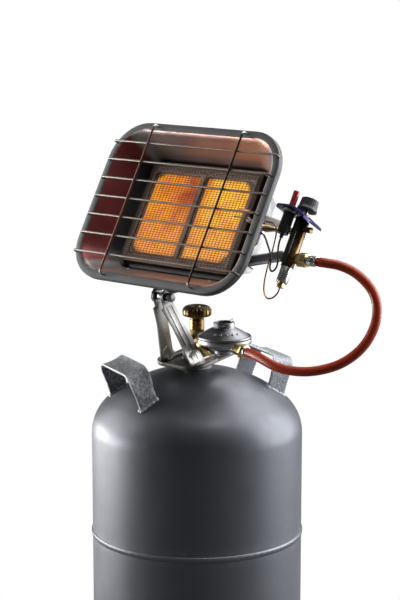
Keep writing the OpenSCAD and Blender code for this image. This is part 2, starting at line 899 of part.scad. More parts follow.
module leg(side) {
    long = (leg_l - leg_bend) / cos(leg_splay) + 10;
    color("silver") difference() {
        union() {
            leg_frame(side) {
                translate([-leg_t / 2, 0, 0]) rotate([90, 0, 90]) linear_extrude(leg_t) polygon([
                    [-leg_top_w / 2, 0.5], [leg_top_w / 2, 0.5],
                    [leg_foot_w / 2 + 1, -long], [-leg_foot_w / 2 - 1, -long],
                    [-leg_top_w / 2 - 1, -leg_flare_l], [-leg_top_w / 2 - leg_flare, -1.5], [-leg_top_w / 2, -1]
                ]);
                for (y = [-leg_rib_x, leg_rib_x])
                    translate([side > 0 ? leg_t / 2 : -leg_t / 2 - leg_rib, y - leg_rib_w / 2, -long + 18])
                        cube([leg_rib, leg_rib_w, long - 24]);
            }
            translate([side > 0 ? spacer_half : -spacer_half - leg_t, -pivot_front, pivot_z])
                rotate([90, 0, 90]) linear_extrude(leg_t) {
                    circle(r = tab_r);
                    rotate(leg_lean) translate([-tab_r, -leg_bend]) square([2 * tab_r, leg_bend]);
                }
        }
        translate([-far / 2, -pivot_front, pivot_z]) along_x() cylinder(r = bolt_r + run_gap, h = far);
        on_fork() translate([-far / 2, -far / 2, fork_t - far]) cube([far, far, far]);
        on_fork() translate([side > 0 ? 0 : -far, clamp_tab_y - clamp_tab_w / 2 - 0.3, fork_t + clamp_up])
            cube([far, clamp_tab_w + 0.6, clamp_tab_h + 0.6]);
        on_fork() translate([side > 0 ? 0 : -far, -leg_foot_y - 14, fork_t + leg_slot_up])
            rotate([leg_lean + fork_tilt, 0, 0]) cube([far, leg_slot_w, leg_slot_h]);
    }
}

module left_leg() {
    leg(-1);
}

module right_leg() {
    leg(1);
}

module clamp_strap() {
    tab_out = leg_spread + 3;
    color("lightgray") difference() {
        on_fork() translate([0, 0, fork_t + clamp_up]) {
            linear_extrude(clamp_h) difference() {
                union() {
                    circle(r = clamp_out);
                    translate([-clamp_out, clamp_tab_y - clamp_tab_w / 2])
                        square([2 * clamp_out, clamp_tab_w / 2 - clamp_tab_y]);
                }
                translate([clamp_t - clamp_out, -far]) square([2 * (clamp_out - clamp_t), far]);
            }
            for (side = [-1, 1])
                translate([side > 0 ? clamp_in : -tab_out, clamp_tab_y - clamp_tab_w / 2, part_gap])
                    cube([tab_out - clamp_in, clamp_tab_w, clamp_tab_h - part_gap]);
        }
        neck_space();
    }
}

module at_pivot() {
    translate([0, -pivot_front, pivot_z]) children();
}

module pivot_bolt() {
    color("silver") at_pivot() {
        translate([-ear_out - part_gap, 0, 0]) along_x()
            cylinder(r = bolt_r, h = 2 * ear_out + 2 * part_gap + grip_l - grip_wall);
        translate([-ear_out - part_gap - bolt_head_l, 0, 0]) along_x() cylinder(r = bolt_head_r, h = bolt_head_l, $fn = 6);
    }
}

module pivot_spacer() {
    color("dimgray") at_pivot() translate([-spacer_half, 0, 0]) along_x()
        tube(bolt_r + 2.2, bolt_r + run_gap, 2 * spacer_half);
}

module pivot_grip() {
    lobes = 8;
    color("black") at_pivot() translate([grip_x, 0, 0]) along_x() difference() {
        union() {
            cylinder(r = grip_r - 1, h = grip_l);
            for (k = [0 : lobes - 1]) rotate([0, 0, 360 * k / lobes])
                translate([grip_r - 1.4, 0, 0]) cylinder(r = 1.4, h = grip_l - 1, $fn = 16);
        }
        translate([0, 0, -1]) cylinder(r = bolt_r + run_gap, h = grip_l + 1 - grip_wall + part_gap);
    }
}

// ---------- head: yoke, reflector and guard ----------

// Axes on the outside of the reflector's lower wall: x along it, y towards the reflector, z to the front
module on_lower_wall() {
    translate([0, yoke_wall_w, -pivot_back]) rotate([wall_angle, 0, 0]) children();
}

module yoke() {
    arm_low = -pivot_drop + yoke_arm_up;
    web_low = -pivot_drop + yoke_web_up;
    rise = (yoke_wall_w - yoke_t - arm_low) / (yoke_foot_in - ear_in);
    color("gainsboro") in_head() {
        difference() {
            union() {
                translate([0, 0, -pivot_back - yoke_w / 2]) linear_extrude(yoke_w) {
                    for (side = [-1, 1]) polygon([
                        [side * ear_in, arm_low], [side * yoke_foot_in, arm_low + rise * (yoke_foot_in - ear_in)],
                        [side * (yoke_foot_in + 8), yoke_wall_w - 0.6], [side * (yoke_foot_in - 4), yoke_wall_w],
                        [side * ear_in, arm_low + yoke_t]
                    ]);
                    translate([-ear_in, web_low]) square([2 * ear_in, yoke_t]);
                }
                for (side = [-1, 1]) on_lower_wall()
                    translate([side > 0 ? yoke_foot_in - 2 : -yoke_foot_out, -yoke_t, -yoke_w / 2])
                        cube([yoke_foot_out - yoke_foot_in + 2, yoke_t, yoke_w]);
                for (side = [-1, 1]) translate([side > 0 ? ear_in : -ear_out, -pivot_drop, -pivot_back]) {
                    along_x() cylinder(r = ear_r, h = ear_t);
                    translate([0, 0, -yoke_w / 2]) cube([ear_t, yoke_web_up + yoke_t, yoke_w]);
                }
            }
            on_lower_wall() translate([-far / 2, 0, -far / 2]) cube([far, far, far]);
            translate([-far / 2, -pivot_drop, -pivot_back]) along_x() cylinder(r = bolt_r + run_gap, h = far);
            for (side = [-1, 1]) on_lower_wall() translate([side * yoke_foot_u, 5, 0]) rotate([90, 0, 0])
                cylinder(r = screw_r + run_gap, h = 10);
        }
    }
}

module dish_solid(inset) {
    hull() {
        translate([0, 0, -rim_back - sheet_t]) linear_extrude(sheet_t)
            rounded_rect(rim_in_w - 2 * inset, rim_in_h - 2 * inset, rim_in_corner - inset);
        translate([0, 0, floor_n - (inset > 0 ? 0 : sheet_t)]) linear_extrude(0.01)
            rounded_rect(floor_w - 2 * inset, floor_h - 2 * inset, floor_corner - inset);
    }
}

module reflector() {
    color("dimgray") in_head() difference() {
        union() {
            translate([0, 0, -rim_back - sheet_t]) linear_extrude(sheet_t) difference() {
                rounded_rect(rim_w, rim_h, rim_corner);
                rounded_rect(rim_in_w - 2 * sheet_t, rim_in_h - 2 * sheet_t, rim_in_corner - sheet_t);
            }
            translate([0, 0, -rim_back - rim_return]) linear_extrude(rim_return) difference() {
                rounded_rect(rim_w, rim_h, rim_corner);
                rounded_rect(rim_w - 2 * sheet_t, rim_h - 2 * sheet_t, rim_corner - sheet_t);
            }
            difference() {
                dish_solid(0);
                dish_solid(sheet_t);
            }
        }
        translate([0, 0, floor_n - 10]) linear_extrude(far) rounded_rect(frame_w - 6, frame_h - 6, frame_corner);
        for (k = [0 : wire_count - 1], side = [-1, 1])
            translate([side * wire_end_u, (k - (wire_count - 1) / 2) * wire_pitch, -far / 2]) cylinder(r = wire_hole_r, h = far, $fn = 16);
        for (side = [-1, 1], end = [-1, 1])
            translate([side * upright_half, end * upright_end_w, -far / 2]) cylinder(r = wire_hole_r, h = far, $fn = 16);
        translate([electrode_u, electrode_w, -far / 2]) cylinder(r = insulator_r + run_gap, h = far, $fn = 24);
        translate([electrode_u, probe_w, -far / 2]) cylinder(r = probe_r + run_gap, h = far, $fn = 24);
        for (side = [-1, 1]) on_lower_wall() translate([side * yoke_foot_u, 5, 0]) rotate([90, 0, 0])
            cylinder(r = screw_r + run_gap, h = 10, $fn = 24);
    }
}

// A straight wire whose two ends bend back into the rim; half is half its length
module guard_wire(half, front) {
    bend = wire_bend;
    leg_top = front - bend;
    translate([-half + bend, 0, front]) along_x() cylinder(r = wire_r, h = 2 * (half - bend), $fn = 24);
    for (side = [-1, 1]) {
        translate([side * half, 0, wire_leg_end]) cylinder(r = wire_r, h = leg_top - wire_leg_end, $fn = 24);
        translate([side * (half - bend), 0, leg_top]) rotate([90, 0, 0]) intersection() {
            rotate_extrude($fn = 48) translate([bend, 0]) circle(r = wire_r, $fn = 24);
            translate([side > 0 ? 0 : -2 * bend, 0, -bend]) cube([2 * bend, 2 * bend, 2 * bend]);
        }
    }
}

module guard_horizontal_wires() {
    color("silver") in_head() for (k = [0 : wire_count - 1])
        translate([0, (k - (wire_count - 1) / 2) * wire_pitch, 0]) guard_wire(wire_end_u, 0);
}

module guard_vertical_wires() {
    color("silver") in_head() for (side = [-1, 1])
        translate([side * upright_half, 0, 0]) rotate([0, 0, 90]) guard_wire(upright_end_w, upright_n);
}

// ---------- head: burner ----------

module windows(extra) {
    for (side = [-1, 1]) translate([side * (window_in + window_out) / 2, 0])
        rounded_rect(window_out - window_in + extra, window_h + extra, window_corner);
}

// The box's shape from its open front to its back, which is lower than the front
module box_solid(inset, front) {
    half = box_h / 2 - inset;
    back_half = box_back_h / 2 - inset;
    translate([inset - box_w / 2, 0, 0]) rotate([90, 0, 90]) linear_extrude(box_w - 2 * inset) polygon([
        [-half, front], [-half, box_taper_n], [-back_half, box_back_n + inset],
        [back_half, box_back_n + inset], [half, box_taper_n], [half, front]
    ]);
}

module burner_box() {
    front = plaque_n - 2;
    color("dimgray") in_head() difference() {
        union() {
            difference() {
                box_solid(0, front);
                box_solid(box_t, front + 1);
            }
            translate([0, 0, box_flange_n - box_t]) linear_extrude(box_t) difference() {
                square([box_w + 2 * box_flange, box_h + 2 * box_flange], center = true);
                square([box_w - box_t, box_h - box_t], center = true);
            }
            translate([0, 0, plaque_n - plaque_t - box_t]) linear_extrude(box_t) difference() {
                square([box_w - box_t, box_h - box_t], center = true);
                square([2 * plaque_half - 2 * ledge_w, plaque_h - 2 * ledge_w], center = true);
            }
        }
        translate([0, mixer_w, mixer_n]) along_x() cylinder(r = mixer_r + run_gap, h = far);
        for (w = [upper_screw_w, lower_screw_w]) translate([box_w / 2 - 10, w, screw_n]) along_x()
            cylinder(r = screw_r + run_gap, h = 20);
    }
}

module burner_frame() {
    front = plaque_n + gasket_t;
    color("saddlebrown") in_head() {
        translate([0, 0, front]) linear_extrude(frame_t) difference() {
            rounded_rect(frame_w, frame_h, frame_corner);
            windows(0);
        }
        translate([0, 0, floor_n]) linear_extrude(front - floor_n) difference() {
            rounded_rect(frame_w, frame_h, frame_corner);
            rounded_rect(frame_w - 2 * frame_skirt_t, frame_h - 2 * frame_skirt_t, frame_corner - frame_skirt_t);
        }
    }
}

module plaque(side) {
    color("orange") in_head() translate([side > 0 ? plaque_gap / 2 : -plaque_half, -plaque_h / 2, plaque_n - plaque_t])
        cube([plaque_w, plaque_h, plaque_t]);
}

module plaque_left() {
    plaque(-1);
}

module plaque_right() {
    plaque(1);
}

module plaque_gasket() {
    color("white") in_head() translate([0, 0, plaque_n]) linear_extrude(gasket_t) difference() {
        square([2 * plaque_half, plaque_h], center = true);
        windows(0);
    }
}

module mixing_tube() {
    color("gray") in_head() translate([0, mixer_w, mixer_n]) along_x() {
        translate([0, 0, mixer_in]) tube(mixer_r, mixer_r - mixer_wall, mixer_out - mixer_in);
        translate([0, 0, mixer_out]) linear_extrude(mixer_cap_t) difference() {
            circle(r = mixer_r);
            circle(r = nozzle_r);
            for (k = [0 : 2]) rotate([0, 0, 120 * k + 60]) translate([mixer_r - 3.6, 0]) circle(r = 2.6);
        }
    }
}

module injector() {
    color("goldenrod") in_head() translate([mixer_out, mixer_w, mixer_n]) along_x() {
        translate([0, 0, mixer_cap_t - nozzle_l]) cylinder(r = nozzle_r, h = nozzle_l);
        translate([0, 0, mixer_cap_t]) cylinder(r = injector_r, h = injector_l);
        translate([0, 0, mixer_cap_t + injector_l]) cylinder(r1 = injector_r, r2 = feed_r + 0.5, h = 10);
        translate([0, 0, mixer_cap_t + injector_l + 10]) cylinder(r = feed_r + 0.5, h = 4);
    }
}

module feed_tube() {
    color("goldenrod") in_head() translate([injector_end, mixer_w, mixer_n]) along_x()
        cylinder(r = feed_r, h = control_u - gas_valve_r + 1 - injector_end);
}

module electrode_insulator() {
    color("white") in_head() translate([electrode_u, electrode_w, electrode_back]) difference() {
        cylinder(r = insulator_r, h = electrode_front - electrode_back);
        translate([0, 0, -1]) cylinder(r = rod_r, h = far);
    }
}

module electrode_rod() {
    tip = electrode_front + 4;
    color("silver") in_head() translate([electrode_u, electrode_w, 0]) {
        translate([0, 0, electrode_back]) cylinder(r = rod_r, h = tip - electrode_back);
        translate([0, 0, tip]) sphere(r = rod_r);
        translate([-rod_l, 0, tip]) along_x() cylinder(r = rod_r, h = rod_l);
    }
}

module electrode_boot() {
    color("black") in_head() difference() {
        translate([electrode_u, boot_top - boot_l, boot_n]) along_y() {
            translate([0, 0, boot_r]) cylinder(r = boot_r, h = boot_l - 2 * boot_r);
            for (end = [boot_r, boot_l - boot_r]) translate([0, 0, end]) sphere(r = boot_r);
        }
        translate([electrode_u, electrode_w, electrode_back - part_gap]) cylinder(r = insulator_r + run_gap, h = far);
    }
}

module thermocouple_probe() {
    tip = electrode_front + 1;
    color("chocolate") in_head() translate([electrode_u, probe_w, 0]) {
        translate([0, 0, electrode_back]) cylinder(r = probe_r, h = tip - electrode_back);
        translate([0, 0, tip]) sphere(r = probe_r);
        translate([-rod_l + 3, 0, tip]) along_x() cylinder(r = probe_r * 0.7, h = rod_l - 3);
    }
}

// ---------- head: controls ----------

module arm_foot(w_low, w_high) {
    translate([arm_foot_u, w_low, box_back_n]) cube([arm_t, w_high - w_low, arm_n + arm_t - box_back_n]);
}

module foot_holes() {
    for (w = [upper_screw_w, lower_screw_w]) translate([box_w / 2 - 10, w, screw_n]) along_x()
        cylinder(r = screw_r + run_gap, h = 20);
}

module upper_arm() {
    color("gray") in_head() difference() {
        union() {
            translate([0, 0, arm_n]) linear_extrude(arm_t) polygon([
                [arm_foot_u, upper_screw_w - 7], [arm_foot_u, upper_screw_w + 6], [arm_foot_u + 30, upper_screw_w + 1],
                [arm_foot_u + 48, upper_screw_w - 7], [arm_end_u, upper_screw_w - 12],
                [arm_end_u, upper_screw_w - 21], [arm_foot_u + 46, upper_screw_w - 16],
                [arm_foot_u + 28, upper_screw_w - 9]
            ]);
            arm_foot(upper_screw_w - 7, upper_screw_w + 6);
        }
        foot_holes();
    }
}

module lower_arm() {
    rise = 20;
    color("gray") in_head() difference() {
        union() {
            translate([0, 0, arm_n]) linear_extrude(arm_t) polygon([
                [arm_foot_u, lower_screw_w - 7], [arm_foot_u, lower_screw_w + 7],
                [arm_end_u, lower_screw_w + 7 + rise], [arm_end_u, lower_screw_w - 7 + rise]
            ]);
            for (edge = [0, 14 - arm_t]) translate([0, 0, arm_n]) linear_extrude(arm_flange) polygon([
                [arm_foot_u, lower_screw_w - 7 + edge], [arm_foot_u, lower_screw_w - 7 + edge + arm_t],
                [arm_foot_u + 50, lower_screw_w - 7 + edge + arm_t + rise * 50 / (arm_end_u - arm_foot_u)],
                [arm_foot_u + 50, lower_screw_w - 7 + edge + rise * 50 / (arm_end_u - arm_foot_u)]
            ]);
            arm_foot(lower_screw_w - 7, lower_screw_w + 7);
        }
        foot_holes();
    }
}

module pan_screw(length) {
    cylinder(r = screw_head_r, h = screw_head_h);
    translate([0, 0, -length]) cylinder(r = screw_r, h = length);
}

module head_screws() {
    color("silver") in_head() {
        for (w = [upper_screw_w, lower_screw_w])
            translate([arm_foot_u + arm_t, w, screw_n]) along_x() pan_screw(6);
        for (side = [-1, 1]) on_lower_wall() translate([side * yoke_foot_u, -yoke_t, 0]) rotate([90, 0, 0])
            pan_screw(5);
    }
}

module control_plate() {
    end_u = plate_fold + plate_slope_l * cos(plate_slope);
    end_w = plate_w - plate_slope_l * sin(plate_slope);
    depth = plate_front - plate_rear;
    color("midnightblue") in_head() difference() {
        intersection() {
            translate([0, 0, plate_rear]) linear_extrude(depth) polygon([
                [plate_left, plate_w - plate_t], [plate_left, plate_w], [plate_fold, plate_w],
                [end_u, end_w], [end_u - plate_t * sin(plate_slope), end_w - plate_t * cos(plate_slope)],
                [plate_fold - plate_t * tan(plate_slope / 2), plate_w - plate_t]
            ]);
            translate([(plate_left + end_u) / 2, far / 2, (plate_front + plate_rear) / 2]) rotate([90, 0, 0])
                linear_extrude(far) rounded_rect(end_u - plate_left, depth, plate_corner);
        }
        translate([igniter_u, 0, igniter_n]) rotate([-90, 0, 0]) cylinder(r = collar_r + run_gap, h = far);
        translate([control_u, 0, control_n]) rotate([-90, 0, 0]) cylinder(r = bonnet_r + 0.4, h = far);
    }
}

module valve_bracket() {
    color("gainsboro") in_head() {
        translate([bracket_u, bracket_low, bracket_n]) cube([bracket_w, bracket_top - bracket_low, bracket_t]);
    }
}

module on_valve_axis(w) {
    translate([control_u, w, control_n]) rotate([-90, 0, 0]) children();
}

module gas_valve_body() {
    color("darkgoldenrod") in_head() difference() {
        union() {
            on_valve_axis(gas_valve_bottom) cylinder(r = gas_valve_r, h = gas_valve_l);
            on_valve_axis(gas_valve_top) cylinder(r = bonnet_r, h = bonnet_top - gas_valve_top);
            translate([control_u, inlet_w, control_n]) along_x()
                cylinder(r = inlet_boss_r, h = inlet_boss_u - control_u);
            translate([control_u, bleed_w, control_n]) along_x() cylinder(r = bleed_r, h = bleed_l);
        }
        on_valve_axis(gas_valve_top - 6) cylinder(r = control_shaft_r + run_gap, h = far);
        translate([control_u - gas_valve_r - 1, mixer_w, control_n]) along_x() cylinder(r = feed_r, h = 2);
    }
}

module magnet_housing() {
    color("silver") in_head() on_valve_axis(magnet_bottom) cylinder(r = magnet_r, h = magnet_l);
}

module thermocouple_nut() {
    color("goldenrod") in_head() on_valve_axis(magnet_bottom - tc_nut_l) difference() {
        linear_extrude(tc_nut_l) hexagon(tc_nut_af);
        translate([0, 0, -1]) cylinder(r = capillary_r + 0.2, h = tc_nut_l);
    }
}

module control_spindle() {
    low = gas_valve_top - 6 + knob_push + part_gap;
    color("silver") in_head() on_valve_axis(low) cylinder(r = control_shaft_r, h = knob_w + shaft_depth - low);
}

module control_knob() {
    color("black") in_head() on_valve_axis(knob_w) difference() {
        rotate_extrude($fn = 72) polygon([
            [0, 0], [knob_skirt_r, 0], [knob_skirt_r, 2], [knob_top_r + 0.8, 4.5],
            [knob_top_r, knob_h - 1.5], [knob_top_r - 1.5, knob_h], [0, knob_h]
        ]);
        translate([0, 0, -1]) cylinder(r = control_shaft_r + run_gap, h = shaft_depth + 1 + part_gap);
    }
}

module on_igniter_axis(w) {
    translate([igniter_u, w, igniter_n]) rotate([-90, 0, 0]) children();
}

module piezo_body() {
    nut_low = nut_top - igniter_nut_h;
    color("black") in_head() difference() {
        union() {
            on_igniter_axis(igniter_bottom) cylinder(r = igniter_r, h = nut_low - igniter_bottom);
            on_igniter_axis(nut_low) cylinder(r = collar_r, h = collar_top - nut_low);
            on_igniter_axis(igniter_bottom - terminal_l) cylinder(r = terminal_r, h = terminal_l);
        }
        on_igniter_axis(bore_low) cylinder(r = button_r + run_gap, h = far);
    }
}

module piezo_nut() {
    color("gray") in_head() on_igniter_axis(nut_top - igniter_nut_h) difference() {
        cylinder(r = igniter_nut_r, h = igniter_nut_h);
        translate([0, 0, -1]) cylinder(r = collar_r, h = igniter_nut_h + 2);
    }
}

module piezo_button() {
    color("darkred") in_head() on_igniter_axis(button_low) {
        cylinder(r = button_r, h = plate_w + button_h - button_low - 1);
        translate([0, 0, plate_w + button_h - button_low - 1]) cylinder(r1 = button_r, r2 = button_r - 1, h = 1);
    }
}

module piezo_spring() {
    color("gray") in_head() on_igniter_axis(bore_low + 0.1) coil_spring(3, 0.5, button_low - bore_low - 0.2, 5);
}

module hose_nut_high() {
    color("goldenrod") in_head() translate([inlet_boss_u, inlet_w, control_n]) along_x()
        linear_extrude(hose_nut_l) hexagon(hose_nut_af + 1);
}

module hose_ferrule_high() {
    color("silver") in_head() translate([inlet_boss_u + hose_nut_l, inlet_w, control_n]) along_x()
        cylinder(r = ferrule_r, h = high_ferrule_l);
}

module thermocouple_capillary() {
    color("sienna") in_head() swept_tube(CAPILLARY, capillary_r, 8, [0.6, 0.1, 0.8]);
}

module ignition_lead() {
    color("black") in_head() swept_tube(LEAD, lead_r, 8, [0.1, 0.1, 0.99]);
}

upper_shell();
lower_shell();
foot_ring();
handle_left();
handle_right();
neck_boss();
valve_body();
valve_spindle();
handwheel();
regulator_inlet_nut();
regulator_stem();
regulator_body();
regulator_diaphragm();
regulator_spring();
regulator_cover();
regulator_cap();
regulator_outlet_nuts();
hose_ferrule_low();
gas_hose();
fork_plate();
left_leg();
right_leg();
clamp_strap();
pivot_bolt();
pivot_spacer();
pivot_grip();
yoke();
reflector();
guard_horizontal_wires();
guard_vertical_wires();
burner_box();
burner_frame();
plaque_left();
plaque_right();
plaque_gasket();
mixing_tube();
injector();
feed_tube();
electrode_insulator();
electrode_rod();
electrode_boot();
thermocouple_probe();
upper_arm();
lower_arm();
head_screws();
control_plate();
valve_bracket();
gas_valve_body();
magnet_housing();
thermocouple_nut();
control_spindle();
control_knob();
piezo_body();
piezo_nut();
piezo_button();
piezo_spring();
hose_nut_high();
hose_ferrule_high();
thermocouple_capillary();
ignition_lead();
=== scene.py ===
from math import acos, atan, atan2, cos, degrees, hypot, pi, radians, sin, sqrt, tan

import bmesh
import bpy
from mathutils import Euler, Matrix, Vector


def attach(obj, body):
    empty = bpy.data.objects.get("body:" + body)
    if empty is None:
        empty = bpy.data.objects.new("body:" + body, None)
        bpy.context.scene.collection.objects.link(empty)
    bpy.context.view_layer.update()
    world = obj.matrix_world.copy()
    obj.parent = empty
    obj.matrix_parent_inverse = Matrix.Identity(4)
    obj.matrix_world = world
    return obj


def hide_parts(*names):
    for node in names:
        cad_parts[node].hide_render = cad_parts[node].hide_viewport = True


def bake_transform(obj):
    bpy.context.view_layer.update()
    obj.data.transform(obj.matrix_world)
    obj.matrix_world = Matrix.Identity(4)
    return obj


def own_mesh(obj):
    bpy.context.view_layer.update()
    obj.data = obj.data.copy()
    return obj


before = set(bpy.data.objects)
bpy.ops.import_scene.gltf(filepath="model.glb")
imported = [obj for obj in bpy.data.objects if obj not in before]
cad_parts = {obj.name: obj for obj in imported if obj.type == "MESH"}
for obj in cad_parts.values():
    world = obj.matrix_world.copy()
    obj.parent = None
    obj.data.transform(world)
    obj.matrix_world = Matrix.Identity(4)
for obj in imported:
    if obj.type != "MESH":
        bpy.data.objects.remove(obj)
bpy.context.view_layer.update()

MM = 0.001

# ---------- sizes in millimetres, as in the part's source ----------

BOTTLE_R = 150
SHELL_T = 3
SHELL_SEGMENTS, SEAM_SEGMENTS = 144, 560
SEAM_Z = 260
UPPER_WALL = 144
LOWER_WALL = 150
DOME_H = 94
CROWN_R = 200
KNUCKLE_R = (CROWN_R**2 - BOTTLE_R**2 - (CROWN_R - DOME_H) ** 2) / (2 * (CROWN_R - BOTTLE_R))
DOME_Z = SEAM_Z + UPPER_WALL + DOME_H
NECK_R = 16

BOSS_H = 22
VALVE_H = 26
OUTLET_RISE = 13.5
OUTLET_Z = DOME_Z + BOSS_H + OUTLET_RISE
OUTLET_TURN = radians(-18)
REG_REACH = 73
REG_R = 38
REG_RIM_Z = 18.5
TOWER_R = 14.8
INLET_ARM_R, INLET_COLLAR_R, INLET_COLLAR_X = 8.5, 9.3, 47
OUTLET_ARM_R, OUTLET_ARM_Z = 7, 9
LOW_FERRULE_X, LOW_FERRULE_L = 126.5, 6.5
HIGH_FERRULE_U, HIGH_FERRULE_W, HIGH_FERRULE_L = 197, -30, 17

PIVOT = Vector((0, -75.5, 610))
FACE_TILT = radians(30.3)
PIVOT_DROP = 120.8
PIVOT_BACK = 44.4

RIM_W, RIM_H, RIM_CORNER = 310, 241, 58
RIM_EDGE = 12
RIM_BACK = 6
RIM_RETURN = 9
SHEET_T = 1
FLOOR_W, FLOOR_H, FLOOR_CORNER = 226, 168, 28
DISH_DEPTH = 50
BURNER_HOLE_W, BURNER_HOLE_H, BURNER_HOLE_CORNER = 198, 146, 6

CONTROL_U, CONTROL_N = 167, -78
PLATE_W = 36

HEAD = (
    Matrix.Translation(PIVOT)
    @ Matrix.Rotation(pi / 2 - FACE_TILT, 4, "X")
    @ Matrix.Translation((0, PIVOT_DROP, PIVOT_BACK))
)
HEAD_INVERSE = HEAD.inverted()
REGULATOR = Matrix.Translation((0, 0, OUTLET_Z)) @ Matrix.Rotation(OUTLET_TURN, 4, "Z")
REG_MIDDLE = REGULATOR @ Matrix.Translation((REG_REACH, 0, 0))
W_AXIS = Matrix.Rotation(-pi / 2, 4, "X")      # turns a Z-axis piece along the head's own height
U_AXIS = Matrix.Rotation(pi / 2, 4, "Y")       # turns a Z-axis piece along X

# ---------- camera ----------

CAMERA_AZIMUTH = radians(41.03)
CAMERA_ELEVATION = radians(10.5)
CAMERA_DISTANCE = 2.676
CAMERA_LENS = 113.8
CAMERA_TARGET = Vector((0.0032, 0.0028, 0.5939))


def make_camera():
    camera = add_object("camera", bpy.data.cameras.new("camera"))
    camera.data.lens = CAMERA_LENS
    camera.data.sensor_width = 36
    camera.data.clip_end = 100
    back = Vector((
        sin(CAMERA_AZIMUTH) * cos(CAMERA_ELEVATION),
        -cos(CAMERA_AZIMUTH) * cos(CAMERA_ELEVATION),
        sin(CAMERA_ELEVATION),
    ))
    camera.location = CAMERA_TARGET + back * CAMERA_DISTANCE
    camera.rotation_euler = back.to_track_quat("Z", "Y").to_euler()
    bpy.context.scene.camera = camera


# ---------- mesh helpers ----------


def add_object(name, data):
    """A new object of the scene that shows this data."""
    obj = bpy.data.objects.new(name, data)
    bpy.context.scene.collection.objects.link(obj)
    return obj


def mesh_object(name, verts, faces, place=None):
    """A mesh in metres from points in millimetres."""
    mesh = bpy.data.meshes.new(name)
    place = place or Matrix.Identity(4)
    mesh.from_pydata([(place @ Vector(v)) * MM for v in verts], [], faces)
    mesh.validate()
    tidy_mesh(mesh, 1e-6)
    mesh.polygons.foreach_set("use_smooth", [True] * len(mesh.polygons))
    return add_object(name, mesh)


def tidy_mesh(mesh, merge, whole_flats=False):
    """Merges points closer than merge metres and turns all faces outwards."""
    bm = bmesh.new()
    bm.from_mesh(mesh)
    bmesh.ops.remove_doubles(bm, verts=bm.verts, dist=merge)
    if whole_flats:
        bmesh.ops.dissolve_limit(bm, angle_limit=radians(0.5), verts=bm.verts, edges=bm.edges)
    bmesh.ops.recalc_face_normals(bm, faces=bm.faces)
    bm.to_mesh(mesh)
    bm.free()


def apply_modifiers(obj):
    """Swaps the mesh for the evaluated one, with no modifier left."""
    depsgraph = bpy.context.evaluated_depsgraph_get()
    mesh = bpy.data.meshes.new_from_object(obj.evaluated_get(depsgraph), depsgraph=depsgraph)
    obj.modifiers.clear()
    obj.data = mesh
    return obj


def sharpen(obj, angle):
    """Smooth shading, with a crease where faces meet at more than the angle."""
    mesh = obj.data
    mesh.polygons.foreach_set("use_smooth", [True] * len(mesh.polygons))
    mesh.set_sharp_from_angle(angle=radians(angle))
    return obj


def bevel(obj, width, segments, angle):
    edge = obj.modifiers.new("edge", "BEVEL")
    edge.width = width * MM
    edge.segments = segments
    edge.limit_method = "ANGLE"
    edge.angle_limit = radians(angle)
    edge.harden_normals = False
    return sharpen(apply_modifiers(obj), angle + 10)


def join(name, pieces):
    """Joins finished meshes into one object; all sit at the origin."""
    bm = bmesh.new()
    slots = []
    for piece in pieces:
        base = len(slots)
        mesh = piece.data
        slots += list(mesh.materials) or [None]
        before = len(bm.faces)
        bm.from_mesh(mesh)
        bm.faces.ensure_lookup_table()
        for face in bm.faces[before:]:
            face.material_index += base
        bpy.data.objects.remove(piece)
    mesh = bpy.data.meshes.new(name)
    bm.to_mesh(mesh)
    bm.free()
    for material in slots:
        mesh.materials.append(material)
    return add_object(name, mesh)


def lathe(name, profile, place, segments, closed=False, wobble=None):
    """Turns (radius, height) points round Z. wobble(angle, radius, height) may change the radius."""
    verts, faces = [], []
    rows = len(profile)
    for i in range(segments):
        turn = 2 * pi * i / segments
        for r, z in profile:
            if wobble:
                r = wobble(turn, r, z)
            verts.append((r * cos(turn), r * sin(turn), z))
    steps = rows if closed else rows - 1
    for i in range(segments):
        a, b = i * rows, ((i + 1) % segments) * rows
        for k in range(steps):
            m = (k + 1) % rows
            faces.append((a + k, b + k, b + m, a + m))
    return sharpen(mesh_object(name, verts, faces, place), 38)


def arc(cx, cy, radius, start, end, steps):
    """Points along part of a circle, between two angles in degrees."""
    return [
        (cx + radius * cos(radians(start + (end - start) * i / steps)),
         cy + radius * sin(radians(start + (end - start) * i / steps)))
        for i in range(steps + 1)
    ]


def stitch(count, size, closed=False):
    """Faces that join count rings of size points each, one after the other."""
    faces = []
    for i in range(count if closed else count - 1):
        a, b = i * size, ((i + 1) % count) * size
        faces += [(a + k, a + (k + 1) % size, b + (k + 1) % size, b + k) for k in range(size)]
    return faces


def smooth_path(points, step):
    """A Catmull-Rom line through the points, about one step apart."""
    pts = [Vector(p) for p in points]
    pts = [2 * pts[0] - pts[1]] + pts + [2 * pts[-1] - pts[-2]]
    line = []
    for i in range(1, len(pts) - 2):
        p0, p1, p2, p3 = pts[i - 1: i + 3]
        count = max(2, round((p2 - p1).length / step))
        for k in range(count):
            t = k / count
            line.append(0.5 * (
                2 * p1 + (p2 - p0) * t + (2 * p0 - 5 * p1 + 4 * p2 - p3) * t * t
                + (3 * p1 - p0 - 3 * p2 + p3) * t**3
            ))
    line.append(pts[-2])
    return line


